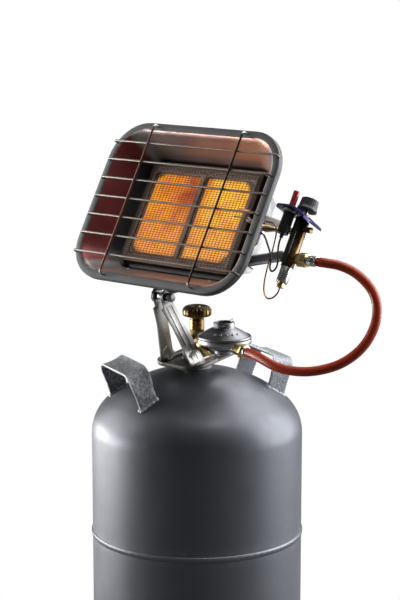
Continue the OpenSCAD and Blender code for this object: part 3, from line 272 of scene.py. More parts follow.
def tube(name, line, radius, sides, place=None, closed=False):
    """A round tube along a line; radius is a number or a function of the distance along it."""
    line = [Vector(p) for p in line]
    count = len(line)
    along = []
    for i in range(count):
        before = line[(i - 1) % count] if closed else line[max(i - 1, 0)]
        after = line[(i + 1) % count] if closed else line[min(i + 1, count - 1)]
        along.append((after - before).normalized())
    side = along[0].orthogonal().normalized()
    verts, travelled = [], 0
    for i in range(count):
        side = (side - along[i] * side.dot(along[i])).normalized()
        other = along[i].cross(side)
        if i:
            travelled += (line[i] - line[i - 1]).length
        r = radius(travelled) if callable(radius) else radius
        for k in range(sides):
            turn = 2 * pi * k / sides
            verts.append(line[i] + r * (cos(turn) * side + sin(turn) * other))
    faces = stitch(count, sides, closed)
    if not closed:
        faces.append(tuple(range(sides))[::-1])
        faces.append(tuple((count - 1) * sides + k for k in range(sides)))
    return sharpen(mesh_object(name, verts, faces, place), 50)


def rounded_outline(width, height, corner, corner_steps, side_steps):
    """Points round a rectangle with round corners, anticlockwise."""
    points = []
    for cx, cy, start in ((1, 1, 0), (-1, 1, 90), (-1, -1, 180), (1, -1, 270)):
        centre = (cx * (width / 2 - corner), cy * (height / 2 - corner))
        points += arc(*centre, corner, start, start + 90, corner_steps)
    full = []
    for i, p in enumerate(points):
        q = points[(i + 1) % len(points)]
        full.append(p)
        if (i + 1) % (corner_steps + 1) == 0:
            full += [
                (p[0] + (q[0] - p[0]) * k / side_steps, p[1] + (q[1] - p[1]) * k / side_steps)
                for k in range(1, side_steps)
            ]
    return full


def loft(name, sections, place):
    """Joins rounded rectangles (width, height, corner, depth) in a closed loop of rings."""
    verts = []
    for width, height, corner, depth in sections:
        ring = rounded_outline(width, height, corner, 10, 6)
        verts += [(x, y, depth) for x, y in ring]
    faces = stitch(len(sections), len(ring), closed=True)
    return sharpen(mesh_object(name, verts, faces, place), 40)


def cad_copy(node, edge, segments=2, angle=35):
    """A copy of a CAD node with its loose triangles merged, flats made whole and edges eased."""
    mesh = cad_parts[node].data.copy()
    obj = add_object(node + "_finished", mesh)
    tidy_mesh(mesh, 2e-6, whole_flats=True)
    return bevel(obj, edge, segments, angle) if edge else sharpen(obj, angle)


def paint(obj, *materials):
    """Gives an object these materials in place of its own."""
    obj.data.materials.clear()
    for material in materials:
        obj.data.materials.append(material)


def dress(obj, material, body, slot, *nodes):
    """Gives a piece its finish and puts it on its body in place of the CAD nodes."""
    paint(obj, material)
    place_piece(obj, body, slot, *nodes)


def dress_copies(*rows):
    """Dresses plain copies of CAD nodes, from rows of (node, edge, material, body, slot)."""
    for node, edge, material, body, slot in rows:
        dress(cad_copy(node, edge), material, body, slot, node)


def place_piece(obj, body, slot, *nodes):
    """Puts a piece on its body and hides the CAD nodes it stands for; the slot is not used."""
    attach(obj, body)
    if nodes:
        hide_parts(*nodes)


# ---------- materials ----------


class Nodes:
    """A small helper for building a material's nodes."""

    def __init__(self, name):
        self.material = bpy.data.materials.new(name)
        self.material.use_nodes = True
        self.tree = self.material.node_tree
        self.shader = self.tree.nodes["Principled BSDF"]
        self.coordinates = self.tree.nodes.new("ShaderNodeTexCoord").outputs["Object"]

    def add(self, kind, **values):
        node = self.tree.nodes.new(kind)
        for key, value in values.items():
            setattr(node, key, value)
        return node

    def link(self, output, target):
        self.tree.links.new(output, target)

    def mapped(self, scale=(1, 1, 1), rotation=(0, 0, 0)):
        node = self.add("ShaderNodeMapping")
        node.inputs["Scale"].default_value = scale
        node.inputs["Rotation"].default_value = rotation
        self.link(self.coordinates, node.inputs["Vector"])
        return node.outputs["Vector"]

    def axes(self, vector):
        """The x, y and z of a vector."""
        node = self.add("ShaderNodeSeparateXYZ")
        self.link(vector, node.inputs[0])
        return node.outputs

    def noise(self, scale, detail, vector=None, rough=0.55):
        node = self.add("ShaderNodeTexNoise")
        node.inputs["Scale"].default_value = scale
        node.inputs["Detail"].default_value = detail
        node.inputs["Roughness"].default_value = rough
        self.link(vector or self.coordinates, node.inputs["Vector"])
        return node.outputs["Fac"]

    def ramp(self, value, *stops):
        node = self.add("ShaderNodeValToRGB")
        elements = node.color_ramp.elements
        while len(elements) < len(stops):
            elements.new(0.5)
        for element, (at, colour) in zip(elements, stops):
            element.position = at
            element.color = (*colour, 1)
        self.link(value, node.inputs["Fac"])
        return node.outputs["Color"]

    def span(self, value, low, high, start=0.3, end=0.7):
        node = self.add("ShaderNodeMapRange")
        for key, number in (("From Min", start), ("From Max", end), ("To Min", low), ("To Max", high)):
            node.inputs[key].default_value = number
        self.link(value, node.inputs["Value"])
        return node.outputs["Result"]

    def pointed(self, low, high, start, end):
        """A span of how far the surface juts out: over 0.5 on an edge, less in a hollow."""
        return self.span(self.add("ShaderNodeNewGeometry").outputs["Pointiness"], low, high, start, end)

    def math(self, operation, a, b=None):
        node = self.add("ShaderNodeMath", operation=operation)
        for socket, value in zip(node.inputs, (a, b)):
            if value is None:
                continue
            if isinstance(value, (int, float)):
                socket.default_value = value
            else:
                self.link(value, socket)
        return node.outputs[0]

    def mix(self, factor, a, b):
        node = self.add("ShaderNodeMix", data_type="RGBA")
        self.link(factor, node.inputs[0])
        for socket, value in ((node.inputs[6], a), (node.inputs[7], b)):
            if isinstance(value, tuple):
                socket.default_value = (*value, 1)
            else:
                self.link(value, socket)
        return node.outputs[2]

    def bump(self, height, distance, strength):
        node = self.add("ShaderNodeBump")
        node.inputs["Strength"].default_value = strength
        node.inputs["Distance"].default_value = distance
        self.link(height, node.inputs["Height"])
        self.link(node.outputs["Normal"], self.shader.inputs["Normal"])

    def set(self, **values):
        for key, value in values.items():
            socket = self.shader.inputs[key.replace("_", " ")]
            if isinstance(value, (tuple, int, float)):
                socket.default_value = (*value, 1) if isinstance(value, tuple) else value
            else:
                self.link(value, socket)
        return self


def scaled(colour, factor):
    """A lighter or darker colour of the same hue."""
    return tuple(min(1, c * factor) for c in colour)


def powder_coat(name, dark, light, rough=0.42, grain=0.00003, flake=0.0, gloss=0.5):
    """Satin powder coat: a fine orange peel, metal flake, slow changes of tone and rubbed edges."""
    m = Nodes(name)
    tone = m.ramp(m.noise(9, 3), (0.3, dark), (0.7, light))
    worn = m.math("MULTIPLY", m.pointed(0, 1, 0.53, 0.6), m.span(m.noise(60, 4), 0, 0.6))
    m.set(Base_Color=m.mix(worn, tone, scaled(light, 1.7)), Metallic=flake, Specular_IOR_Level=gloss)
    m.set(Roughness=m.span(m.noise(40, 4), rough - 0.05, rough + 0.06))
    m.bump(m.noise(900, 3), grain, 0.5)
    return m.material


def wrinkled_coat(name, dark, light):
    """Old paint gone to wrinkles over scale: crests painted pale as a highlight, hollows painted dark as
    shade.
    """
    m = Nodes(name)
    crests = m.noise(330, 5, m.mapped((1, 1, 0.6)), 0.7)
    # Painted highlight on the wrinkle crests and painted shade in the hollows.
    tone = m.ramp(crests, (0.4, dark), (0.62, light))
    m.set(Base_Color=m.mix(m.pointed(0, 1, 0.52, 0.57), tone, scaled(light, 1.25)))
    m.set(Roughness=m.span(crests, 0.55, 0.35), Metallic=0.3)
    m.bump(crests, 0.0012, 0.8)
    return m.material


def brushed(name, colour, rough=0.3, stretch=(1, 30, 30), metal=1.0, grain=0.00004):
    """Brushed or rolled sheet metal: long fine scratches and a few dull patches."""
    m = Nodes(name)
    lines = m.noise(260, 3, m.mapped(stretch))
    m.set(Base_Color=m.mix(m.span(m.noise(22, 4), 0, 1, 0.35, 0.7), colour, scaled(colour, 0.78)))
    m.set(Metallic=metal, Roughness=m.span(lines, rough - 0.08, rough + 0.12))
    m.bump(lines, grain, 0.35)
    return m.material


def brushed_leg(name, low, high, rough):
    """Brushed sheet steel with painted shade that darkens it towards the pivot, and scratches along the leg.
    """
    m = Nodes(name)
    lines = m.noise(260, 3, m.mapped((26, 26, 1)))
    # Heights in metres between which painted shade darkens the leg towards the pivot.
    shade_start_z, shade_full_z = 0.535, 0.6
    rise = m.math("ADD", m.axes(m.coordinates)[2], m.span(m.noise(60, 4), -0.006, 0.006))
    m.set(Base_Color=m.mix(m.span(rise, 0, 1, shade_start_z, shade_full_z), low, high), Metallic=0.92)
    m.set(Roughness=m.span(lines, rough - 0.08, rough + 0.12))
    m.bump(lines, 0.00008, 0.35)
    return m.material


def cast_metal(name, colour, rough=0.38):
    """Die-cast or machined metal with a fine pitted skin, and painted shade darkening its hollows."""
    m = Nodes(name)
    tone = m.ramp(m.noise(45, 4), (0.3, scaled(colour, 0.8)), (0.7, colour))
    # Painted shade: concave hollows darken towards a third of the colour.
    m.set(Base_Color=m.mix(m.pointed(1, 0, 0.42, 0.5), tone, scaled(colour, 0.35)))
    m.set(Metallic=1.0, Roughness=m.span(m.noise(90, 4), rough - 0.08, rough + 0.1))
    m.bump(m.noise(700, 3), 0.00006, 0.4)
    return m.material


def moulded(name, colour, rough=0.5, grain=0.00003, fine=1500, gloss=0.5):
    """Moulded plastic or rubber: even colour with a faint grain and dusty patches."""
    m = Nodes(name)
    dusty = tuple(c * 1.35 + 0.004 for c in colour)
    m.set(Base_Color=m.mix(m.span(m.noise(35, 4), 0, 1), colour, dusty))
    m.set(Roughness=m.span(m.noise(120, 3), rough - 0.07, rough + 0.08), Specular_IOR_Level=gloss)
    m.bump(m.noise(fine, 2), grain, 0.5)
    return m.material


def heat_tinted(name, colour, warm, rough):
    """Satin steel sheet that heat has browned in places."""
    m = Nodes(name)
    lines = m.noise(180, 3, m.mapped((1, 16, 16)))
    m.set(Base_Color=m.ramp(m.noise(14, 5), (0.32, warm), (0.5, colour), (0.75, scaled(colour, 1.1))))
    m.set(Metallic=1.0, Roughness=m.span(lines, rough - 0.06, rough + 0.1))
    m.bump(m.noise(9, 2), 0.0006, 0.25)
    return m.material


def head_coordinates(m):
    """Coordinates in metres in the head's own axes: x across, y up the face, z out of it."""
    turn = Euler((-(pi / 2 - FACE_TILT), 0, 0))
    turned = m.mapped(rotation=turn)
    shift = m.add("ShaderNodeVectorMath", operation="ADD")
    shift.inputs[1].default_value = HEAD_INVERSE.to_translation() * MM
    m.link(turned, shift.inputs[0])
    return shift.outputs[0]


def glowing_ceramic(name, hot, warm, cool, unlit):
    """Porous ceramic: a glow with round outer corners, duller at the top of the middle."""
    m = Nodes(name)
    place = head_coordinates(m)
    across, up, _ = m.axes(place)
    straight_u, straight_w = 0.067, 0.04
    dull_u, dull_w = -0.016, 0.026
    out_u = m.math("MAXIMUM", m.math("SUBTRACT", m.math("ABSOLUTE", across), straight_u), 0)
    out_w = m.math("MAXIMUM", m.math("SUBTRACT", m.math("ABSOLUTE", up), straight_w), 0)
    squares = m.math("ADD", m.math("MULTIPLY", out_u, out_u), m.math("MULTIPLY", out_w, out_w))
    corner = m.math("ADD", m.math("SQRT", squares), m.span(m.noise(90, 2, place), 0, 0.003))
    middle = m.span(m.math("ABSOLUTE", across), 0, 1, 0.003, 0.012)
    lit = m.math("MULTIPLY", m.span(corner, 1, 0, 0.0185, 0.0245), middle)
    reach_u = m.math("ABSOLUTE", m.math("SUBTRACT", across, dull_u))
    reach_w = m.math("ABSOLUTE", m.math("SUBTRACT", up, dull_w))
    dull = m.math("MULTIPLY", m.span(reach_u, 0.62, 0, 0.004, 0.04), m.span(reach_w, 1, 0, 0.012, 0.05))
    heat = m.math("SUBTRACT", m.span(m.noise(40, 3, place), 0.6, 1.0, 0.35, 0.62), dull)
    heat = m.math("MULTIPLY", heat, m.span(across, 0.64, 1.0, -0.03, 0.02))
    glow = m.ramp(heat, (0.1, cool), (0.5, warm), (0.9, hot))
    pale = m.math("MULTIPLY", m.span(up, 0.75, 0, -0.03, 0.012), m.span(m.noise(60, 2, place), 0.7, 1))
    pale_glow = tuple((a + b) / 2 * c for a, b, c in zip(hot, warm, (0.95, 0.8, 2.2)))
    m.set(Base_Color=m.mix(lit, (0.13, 0.085, 0.06), (0.1, 0.04, 0.02)), Roughness=0.85)
    m.set(Emission_Color=m.mix(lit, unlit, m.mix(pale, glow, pale_glow)), Emission_Strength=1.0)
    m.bump(m.noise(900, 2), 0.0001, 0.5)
    return m.material


def guard_metal(name, left, right):
    """Guard wire: a painted highlight on the left part, and a darker colour further right."""
    m = Nodes(name)
    across = m.axes(head_coordinates(m))[0]
    spots = m.math("MULTIPLY", m.span(m.noise(120, 4), 0, 1), 0.15)
    # Painted highlight: the left end of the head keeps the lighter colour, the rest turns darker.
    dull = m.math("MINIMUM", m.math("ADD", m.span(across, 0, 1, -0.085, -0.02), spots), 1)
    m.set(Base_Color=m.mix(dull, left, right), Metallic=0.85, Roughness=m.span(m.noise(260, 3), 0.34, 0.5))
    m.bump(m.noise(400, 3), 0.00005, 0.4)
    return m.material


def reflector_sheet(name):
    """Polished tray with the burner's glow painted on as reflection (red on the left wall, salmon above and
    below) and painted shade on the dark floor.
    """
    m = Nodes(name)
    place = head_coordinates(m)
    across, up, out = m.axes(place)
    side = m.math("SUBTRACT", m.math("ABSOLUTE", across), FLOOR_W / 2 * MM)
    height = m.math("SUBTRACT", m.math("ABSOLUTE", up), FLOOR_H / 2 * MM)
    beside = m.span(m.math("SUBTRACT", side, height), 0, 1, -0.006, 0.006)
    left = m.span(across, 1, 0, -0.01, 0.01)
    along = m.math("ADD", across, m.span(m.noise(16, 3), -0.05, 0.05))
    # Painted reflection of the burner's glow: grey to rose to salmon on the upper and lower walls, red on
    # the left wall.
    grey, rose, salmon = (0.27, 0.25, 0.245), (0.33, 0.215, 0.185), (0.42, 0.235, 0.185)
    painted_wall_glow = m.ramp(m.span(along, 0, 1, -0.11, 0.12), (0.05, grey), (0.35, rose), (0.8, salmon))
    painted_red_glow = m.mix(m.span(m.noise(30, 3, place), 0, 1), (0.17, 0.027, 0.028), (0.21, 0.042, 0.041))
    walls = m.mix(beside, painted_wall_glow, m.mix(left, (0.2, 0.17, 0.165), painted_red_glow))
    # Painted shade: dark colour at the foot of the left wall and on the tray's floor.
    foot = m.math("MULTIPLY", m.span(out, 1, 0, -0.0405, -0.037), m.math("MULTIPLY", beside, left))
    painted_floor_shade = m.math("MAXIMUM", m.span(out, 1, 0, -0.0545, -0.049), foot)
    m.set(Base_Color=m.mix(painted_floor_shade, walls, (0.035, 0.033, 0.034)))
    m.set(Metallic=m.math("SUBTRACT", 0.75, m.math("MULTIPLY", beside, 0.4)))
    m.set(Roughness=m.span(m.noise(40, 4), 0.33, 0.46))
    m.bump(m.noise(11, 2), 0.0008, 0.3)
    return m.material


COAT = powder_coat("grey_powder_coat", (0.076, 0.079, 0.091), (0.086, 0.089, 0.102), 0.45, flake=0.62)
# Seam bead coats: its top painted lighter as a highlight, its underside painted darker as shade.
SEAM_HIGHLIGHT_COAT = powder_coat("seam_painted_highlight_coat", (0.11, 0.113, 0.125), (0.14, 0.143, 0.155), flake=0.5)
SEAM_SHADE_COAT = powder_coat("seam_painted_shade_coat", (0.05, 0.052, 0.06), (0.06, 0.062, 0.07), 0.5, flake=0.4)
HANDLE_COAT = wrinkled_coat("wrinkled_coat", (0.085, 0.087, 0.095), (0.33, 0.335, 0.35))
# A paler, smoother copy of the wrinkled coat for the right handle: painted light for its lit side.
PAINTED_LIGHT_HANDLE_COAT = wrinkled_coat("smoother_handle_coat_painted_light", (0.15, 0.157, 0.175), (0.2, 0.207, 0.225))
NECK_COAT = powder_coat("light_neck_paint", (0.24, 0.24, 0.235), (0.31, 0.31, 0.3), 0.5)
BRASS = cast_metal("machined_brass", (0.62, 0.45, 0.2), 0.3)
WHEEL_BRASS = cast_metal("cast_brass", (0.15, 0.09, 0.034), 0.28)
# Painted shade for the handwheel's upward faces.
WHEEL_TOP_SHADE = cast_metal("wheel_top_painted_shade", (0.025, 0.014, 0.006), 0.5)
DARK_BRASS = cast_metal("aged_brass", (0.17, 0.1, 0.04), 0.28)
PLATED = cast_metal("zinc_plate", (0.62, 0.62, 0.6), 0.26)
SPRING = brushed("spring_wire", (0.4, 0.4, 0.4))
CAST = cast_metal("silver_casting", (0.32, 0.32, 0.33), 0.4)
# A darker copy of the silver casting for the lid: painted shade.
LID_SHADE_CAST = cast_metal("lid_casting_painted_shade", (0.19, 0.19, 0.2), 0.42)
ARM_STEEL = brushed("galvanised_arm", (0.66, 0.66, 0.68), 0.5, (1, 12, 12), 0.25)
DARK_PLASTIC = moulded("dark_plastic", (0.016, 0.016, 0.018), 0.3)
RUBBER = moulded("black_rubber", (0.014, 0.014, 0.014), 0.55)
HOSE_RUBBER = moulded("orange_red_rubber", (0.2, 0.02, 0.005), 0.32, 0.00001, 600, 0.22)
# Lighter colour low on the legs, painted shade colour towards the pivot.
BRACKET = brushed_leg("brushed_bracket", (0.33, 0.318, 0.3), (0.11, 0.108, 0.105), 0.42)
PLATE_STEEL = brushed("rolled_plate", (0.055, 0.053, 0.05), 0.42, (1, 24, 24), 0.6)
REFLECTOR = reflector_sheet("reflector_steel")
RIM_STEEL = powder_coat("rim_coat", (0.045, 0.045, 0.047), (0.06, 0.06, 0.062), 0.46, 0.00002, 0.05, 0.25)
WIRE = guard_metal("bright_wire", (0.17, 0.16, 0.146), (0.1, 0.077, 0.064))
UPRIGHT = guard_metal("browned_wire", (0.13, 0.065, 0.045), (0.025, 0.016, 0.013))
# Painted highlight for the bent ends of the upright wires.
WIRE_TIP_HIGHLIGHT = guard_metal("wire_tip_painted_highlight", (0.36, 0.34, 0.31), (0.3, 0.28, 0.25))
BOX_STEEL = brushed("aluminised_sheet", (0.24, 0.237, 0.232), 0.5, (1, 12, 12), 0.85)
TRAY_BACK = brushed("tray_back", (0.15, 0.148, 0.145), 0.5, (1, 14, 14), 0.8)
FRAME_STEEL = heat_tinted("browned_frame", (0.085, 0.062, 0.05), (0.05, 0.036, 0.03), 0.5)
FIBRE = moulded("ceramic_fibre", (0.6, 0.56, 0.48), 0.9, 0.0002)
GLAZE = moulded("warm_glaze", (0.5, 0.34, 0.3), 0.25)
ROD = brushed("scaled_rod", (0.11, 0.07, 0.05), 0.45)
COPPER = cast_metal("drawn_copper", (0.26, 0.11, 0.06), 0.3)
INDIGO = powder_coat("indigo_coat", (0.012, 0.009, 0.06), (0.02, 0.016, 0.1), 0.24)
# Painted highlight for the control plate's eased edge.
PLATE_EDGE_HIGHLIGHT = moulded("indigo_edge_painted_highlight", (0.22, 0.2, 0.5), 0.4)
KNOB = moulded("knob_plastic", (0.012, 0.012, 0.014), 0.45, 0.00003, 1500, 0.28)
RED = moulded("red_plastic", (0.15, 0.003, 0.007), 0.24)
PAD_GLOW = glowing_ceramic(
    "glowing_pads", (1.0, 0.6, 0.05), (0.88, 0.29, 0.016), (0.38, 0.035, 0.003), (0.03, 0.018, 0.012),
)
BED_GLOW = glowing_ceramic(
    "glowing_bed", (0.22, 0.026, 0.003), (0.13, 0.011, 0.001), (0.05, 0.003, 0.001), (0.004, 0.002, 0.001),
)
UNLIT = moulded("unlit_ceramic", (0.13, 0.092, 0.07), 0.8, 0.0001, 900)

# ---------- hose and lead: routes as in the part's source ----------

HOSE_R = 6.4
LEAD_R = 1.3
CAPILLARY_R = 1.1
HOSE_STEP, LEAD_STEP = 3, 1.5

HOSE = [
    (126.7, -41.2, 542.5), (144.2, -46.9, 542.2), (161, -52, 540), (179, -55, 536), (197, -54, 532.5),
    (216, -49, 531), (234, -41, 532), (251, -31, 536), (267, -21, 543), (281, -11, 554),
    (292, -2, 568), (299, 6, 585), (302, 12, 604), (299, 16, 623), (290, 17, 640),
    (276, 14.5, 654), (262, 10, 663.5), (246, 4, 669.5), (230, -0.4, 671.3), (214.2, -0.7, 671.4),
]
LEAD = [
    (153, -8.2, -62), (153, -14, -62), (154, -22, -62.5), (157, -32, -63), (160, -41, -64),
    (160.5, -49, -65), (157, -54.5, -66), (152, -55, -67), (148, -50, -67), (146, -42, -67),
    (143, -34, -66.5), (138, -26, -65.5), (131, -17, -64.5), (124, -9, -64.5), (118, -4.6, -65),
    (114, -4, -65),
]
CAPILLARY = [
    (167, -71, -78), (167, -77, -78), (166, -82, -78), (162, -88, -78), (156, -91, -77), (150, -89, -76),
    (146, -83, -75), (143, -74, -74), (141, -62, -73), (140, -48, -72), (139, -34, -72), (138, -20, -72),
    (136, -6, -72), (133, 5, -72), (128, 12, -72), (121, 15.5, -72.5), (114, 16, -72),
    (109.5, 16, -69.5), (107.6, 16, -66), (107.5, 16, -62.2),
]


def make_cords():
    line = smooth_path(HOSE, HOSE_STEP)
    hose = tube("hose", line, HOSE_R, 28)
    paint(hose, HOSE_RUBBER)
    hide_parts("gas_hose")
    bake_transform(hose)
    line = [HEAD @ p for p in smooth_path(LEAD, LEAD_STEP)]
    lead = tube("ignition_lead_sheath", line, LEAD_R, 12)
    dress(lead, RUBBER, "head", "black_rubber", "ignition_lead")


# ---------- bottle ----------


def shell_line(wall, inset, hole_r, steps=18):
    """(radius, height above the seam) from the edge of the dome's hole down to the seam."""
    crown, knuckle = CROWN_R - inset, KNUCKLE_R - inset
    middle = BOTTLE_R - KNUCKLE_R
    centre = DOME_H - CROWN_R
    meet = degrees(atan2(-centre, middle))
    hole = degrees(acos(hole_r / crown))
    points = [(x, y + wall) for x, y in arc(0, centre, crown, hole, meet, steps)]
    points += [(x, y + wall) for x, y in arc(middle, 0, knuckle, meet, 0, steps)][1:]
    points += [(BOTTLE_R - inset, wall * (1 - k / 8)) for k in range(1, 9)]
    return points


def make_bottle():
    outer = shell_line(UPPER_WALL, 0, NECK_R)
    inner = shell_line(UPPER_WALL, SHELL_T, NECK_R)[::-1]
    at_seam = Matrix.Translation((0, 0, SEAM_Z))
    upper = lathe("upper_half", outer + inner, at_seam, SHELL_SEGMENTS, closed=True)
    dress(upper, COAT, "root", "bottle_coat", "upper_shell")
    flip = at_seam @ Matrix.Diagonal((1, 1, -1, 1))
    outer = shell_line(LOWER_WALL, 0, 0)
    inner = shell_line(LOWER_WALL, SHELL_T, 0)[::-1]
    lower = lathe("lower_half", outer + inner, flip, SHELL_SEGMENTS, closed=True)
    tidy_mesh(lower.data, 1e-6)
    bead = [
        (BOTTLE_R - 1.2, -5.2), (BOTTLE_R - 0.2, -4.9), (BOTTLE_R + 0.5, -4.2), (BOTTLE_R + 1.2, -3.0),
        (BOTTLE_R + 1.6, -1.6), (BOTTLE_R + 1.8, 0.2), (BOTTLE_R + 1.8, 1.8), (BOTTLE_R + 1.4, 2.8),
        (BOTTLE_R + 0.5, 3.5), (BOTTLE_R - 1.2, 3.8),
    ]
    ripple = lambda turn, r, z: r - 0.06 * (1 + sin(turn * 90 + 2 * sin(turn * 7))) * max(0, r - BOTTLE_R)
    seam = lathe("seam_bead", bead, at_seam, SEAM_SEGMENTS, closed=True, wobble=ripple)
    # Painted highlight on the bead's top faces, painted shade on the faces under it.
    paint(seam, COAT, SEAM_HIGHLIGHT_COAT, SEAM_SHADE_COAT)
    for part in seam.data.polygons:
        height = part.center.z / MM - SEAM_Z
        part.material_index = 1 if height > 1 else 2 if height < -2.4 else 0
    paint(lower, COAT)
    place_piece(join("lower_half_with_seam", [lower, seam]), "root", "bottle_coat", "lower_shell")
    dress(cad_copy("foot_ring", 0.6, 2, 50), COAT, "root", "bottle_coat", "foot_ring")


HANDLE_W, HANDLE_T = 31, 4
HANDLE_TOP, HANDLE_FOOT, HANDLE_DROP = 49, 52, 44
HANDLE_REACH, HANDLE_RISE, HANDLE_LEAN = 114, 11, radians(18.5)
HANDLE_BEND = 14
HANDLE_WAIST = 0.91
HANDLE_BULGE = 0.07
HANDLE_ROLL, HANDLE_SINK = 3.2, 1.2
DISH_END = HANDLE_TOP + 6
HANDLE_TURN = 66.7


def dome_height(radius):
    """Height of the dome's outside at a distance from the axis."""
    middle = BOTTLE_R - KNUCKLE_R
    edge = middle * CROWN_R / (CROWN_R - KNUCKLE_R)
    if radius < edge:
        return DOME_Z - CROWN_R + sqrt(CROWN_R**2 - radius**2)
    return SEAM_Z + UPPER_WALL + sqrt(max(0, KNUCKLE_R**2 - (radius - middle) ** 2))


HANDLE_SLOPE = atan((HANDLE_FOOT - HANDLE_TOP) / HANDLE_DROP)
HANDLE_CUT = HANDLE_BEND * tan((pi / 2 - HANDLE_SLOPE) / 2)
LEG_RINGS = 8


def leg_length(place, start, along):
    """How far a point of the strap runs down its leg before it meets the dome."""
    low, high = 0.0, 80.0
    for _ in range(24):
        middle = (low + high) / 2
        point = place @ (start + along * middle)
        if point.z > dome_height(hypot(point.x, point.y)):
            low = middle
        else:
            high = middle
    return low


def handle_section():
    """Points round the strap's cross-section, (across, through), with eased edges."""
    edge = [(-1, 0.7), (-0.985, 0.92), (-0.95, 1), (-0.75, 1), (-0.4, 1), (0, 1)]
    top = edge + [(-x, t) for x, t in edge[-2::-1]]
    return [(x * HANDLE_W / 2, t * HANDLE_T / 2) for x, t in top + [(-x, -t) for x, t in top]]


def leg_axes(side):
    """The directions down a leg of the strap and out of its face."""
    return (
        Vector((0, side * sin(HANDLE_SLOPE), -cos(HANDLE_SLOPE))),
        Vector((0, side * cos(HANDLE_SLOPE), sin(HANDLE_SLOPE))),
    )


def strap_ring(section, y, z, normal):
    """The section at one place of the strap: wider along the top, edges rolled up, middle sunk a little."""
    share = max(0, 1 - (abs(y) / DISH_END) ** 4)
    wide = 1 + HANDLE_BULGE * share
    ring = []
    for x, t in section:
        dish = share * (HANDLE_ROLL * (abs(x) / (HANDLE_W / 2)) ** 3 - HANDLE_SINK)
        ring.append(Vector((x * wide, y, z)) + normal * (t + dish))
    return ring


def make_handle(name, node, azimuth, coat):
    place = (
        Matrix.Rotation(azimuth, 4, "Z")
        @ Matrix.Translation((HANDLE_REACH, 0, DOME_Z + HANDLE_RISE))
        @ Matrix.Rotation(HANDLE_LEAN, 4, "Y")
    )
    flat = HANDLE_TOP - HANDLE_CUT
    bend = arc(flat, -HANDLE_BEND, HANDLE_BEND, 90, degrees(HANDLE_SLOPE), 8)
    half = [(flat * k / 5, 0, 90) for k in range(5)]
    half += [(y, z, 90 + (degrees(HANDLE_SLOPE) - 90) * k / 8) for k, (y, z) in enumerate(bend)]
    stations = [(-y, z, 180 - turn) for y, z, turn in half[:0:-1]] + half
    section = handle_section()
    count = len(section)
    rings = []
    for y, z, turn in stations:
        normal = Vector((0, cos(radians(turn)), sin(radians(turn))))
        rings.append([place @ point for point in strap_ring(section, y, z, normal)])
    for side in (-1, 1):
        along, normal = leg_axes(side)
        y, z, _ = stations[-1] if side > 0 else stations[0]
        starts = strap_ring(section, y, z, normal)
        ends = [Vector((x * HANDLE_WAIST, y, z)) + normal * t for x, t in section]
        reach = [leg_length(place, point, along) for point in ends]
        leg = []
        for k in range(1, LEG_RINGS + 1):
            step = k / LEG_RINGS
            fade = min(1, 2 * step)
            leg.append([
                place @ (a.lerp(b, fade) + along * far * step) for a, b, far in zip(starts, ends, reach)
            ])
        rings = rings + leg if side > 0 else leg[::-1] + rings
    verts = [point for ring in rings for point in ring]
    faces = stitch(len(rings), count)
    faces.append(tuple(range(count)))
    faces.append(tuple((len(rings) - 1) * count + k for k in range(count))[::-1])
    strap = sharpen(mesh_object(name + "_strap", verts, faces), 50)
    welds = [weld_round_foot(name + "_weld", place, side) for side in (-1, 1)]
    dress(join(name, [strap] + welds), coat, "root", "bottle_coat", node)


def weld_round_foot(name, place, side):
    """A lumpy weld bead where the strap's foot meets the dome."""
    along, normal = leg_axes(side)
    base = Vector((0, side * HANDLE_TOP, 0)) + along * HANDLE_CUT
    line = []
    for x, t in rounded_outline(HANDLE_W * HANDLE_WAIST + 1, HANDLE_T + 1, 2, 2, 12):
        start = base + Vector((x, 0, 0)) + normal * t
        line.append(place @ (start + along * leg_length(place, start, along)))
    lumpy = lambda travelled: 2.2 + 0.5 * sin(travelled * 0.9) + 0.3 * sin(travelled * 0.4)
    return tube(name, line, lumpy, 8, closed=True)


# ---------- bottle valve and handwheel ----------

GLAND_H = 6
WHEEL_GAP = 0.3
WHEEL_Z = DOME_Z + BOSS_H + VALVE_H + GLAND_H + WHEEL_GAP
WHEEL_R, WHEEL_FLUTES = 20.5, 20
HUB_R, HUB_H = 10.3, 19


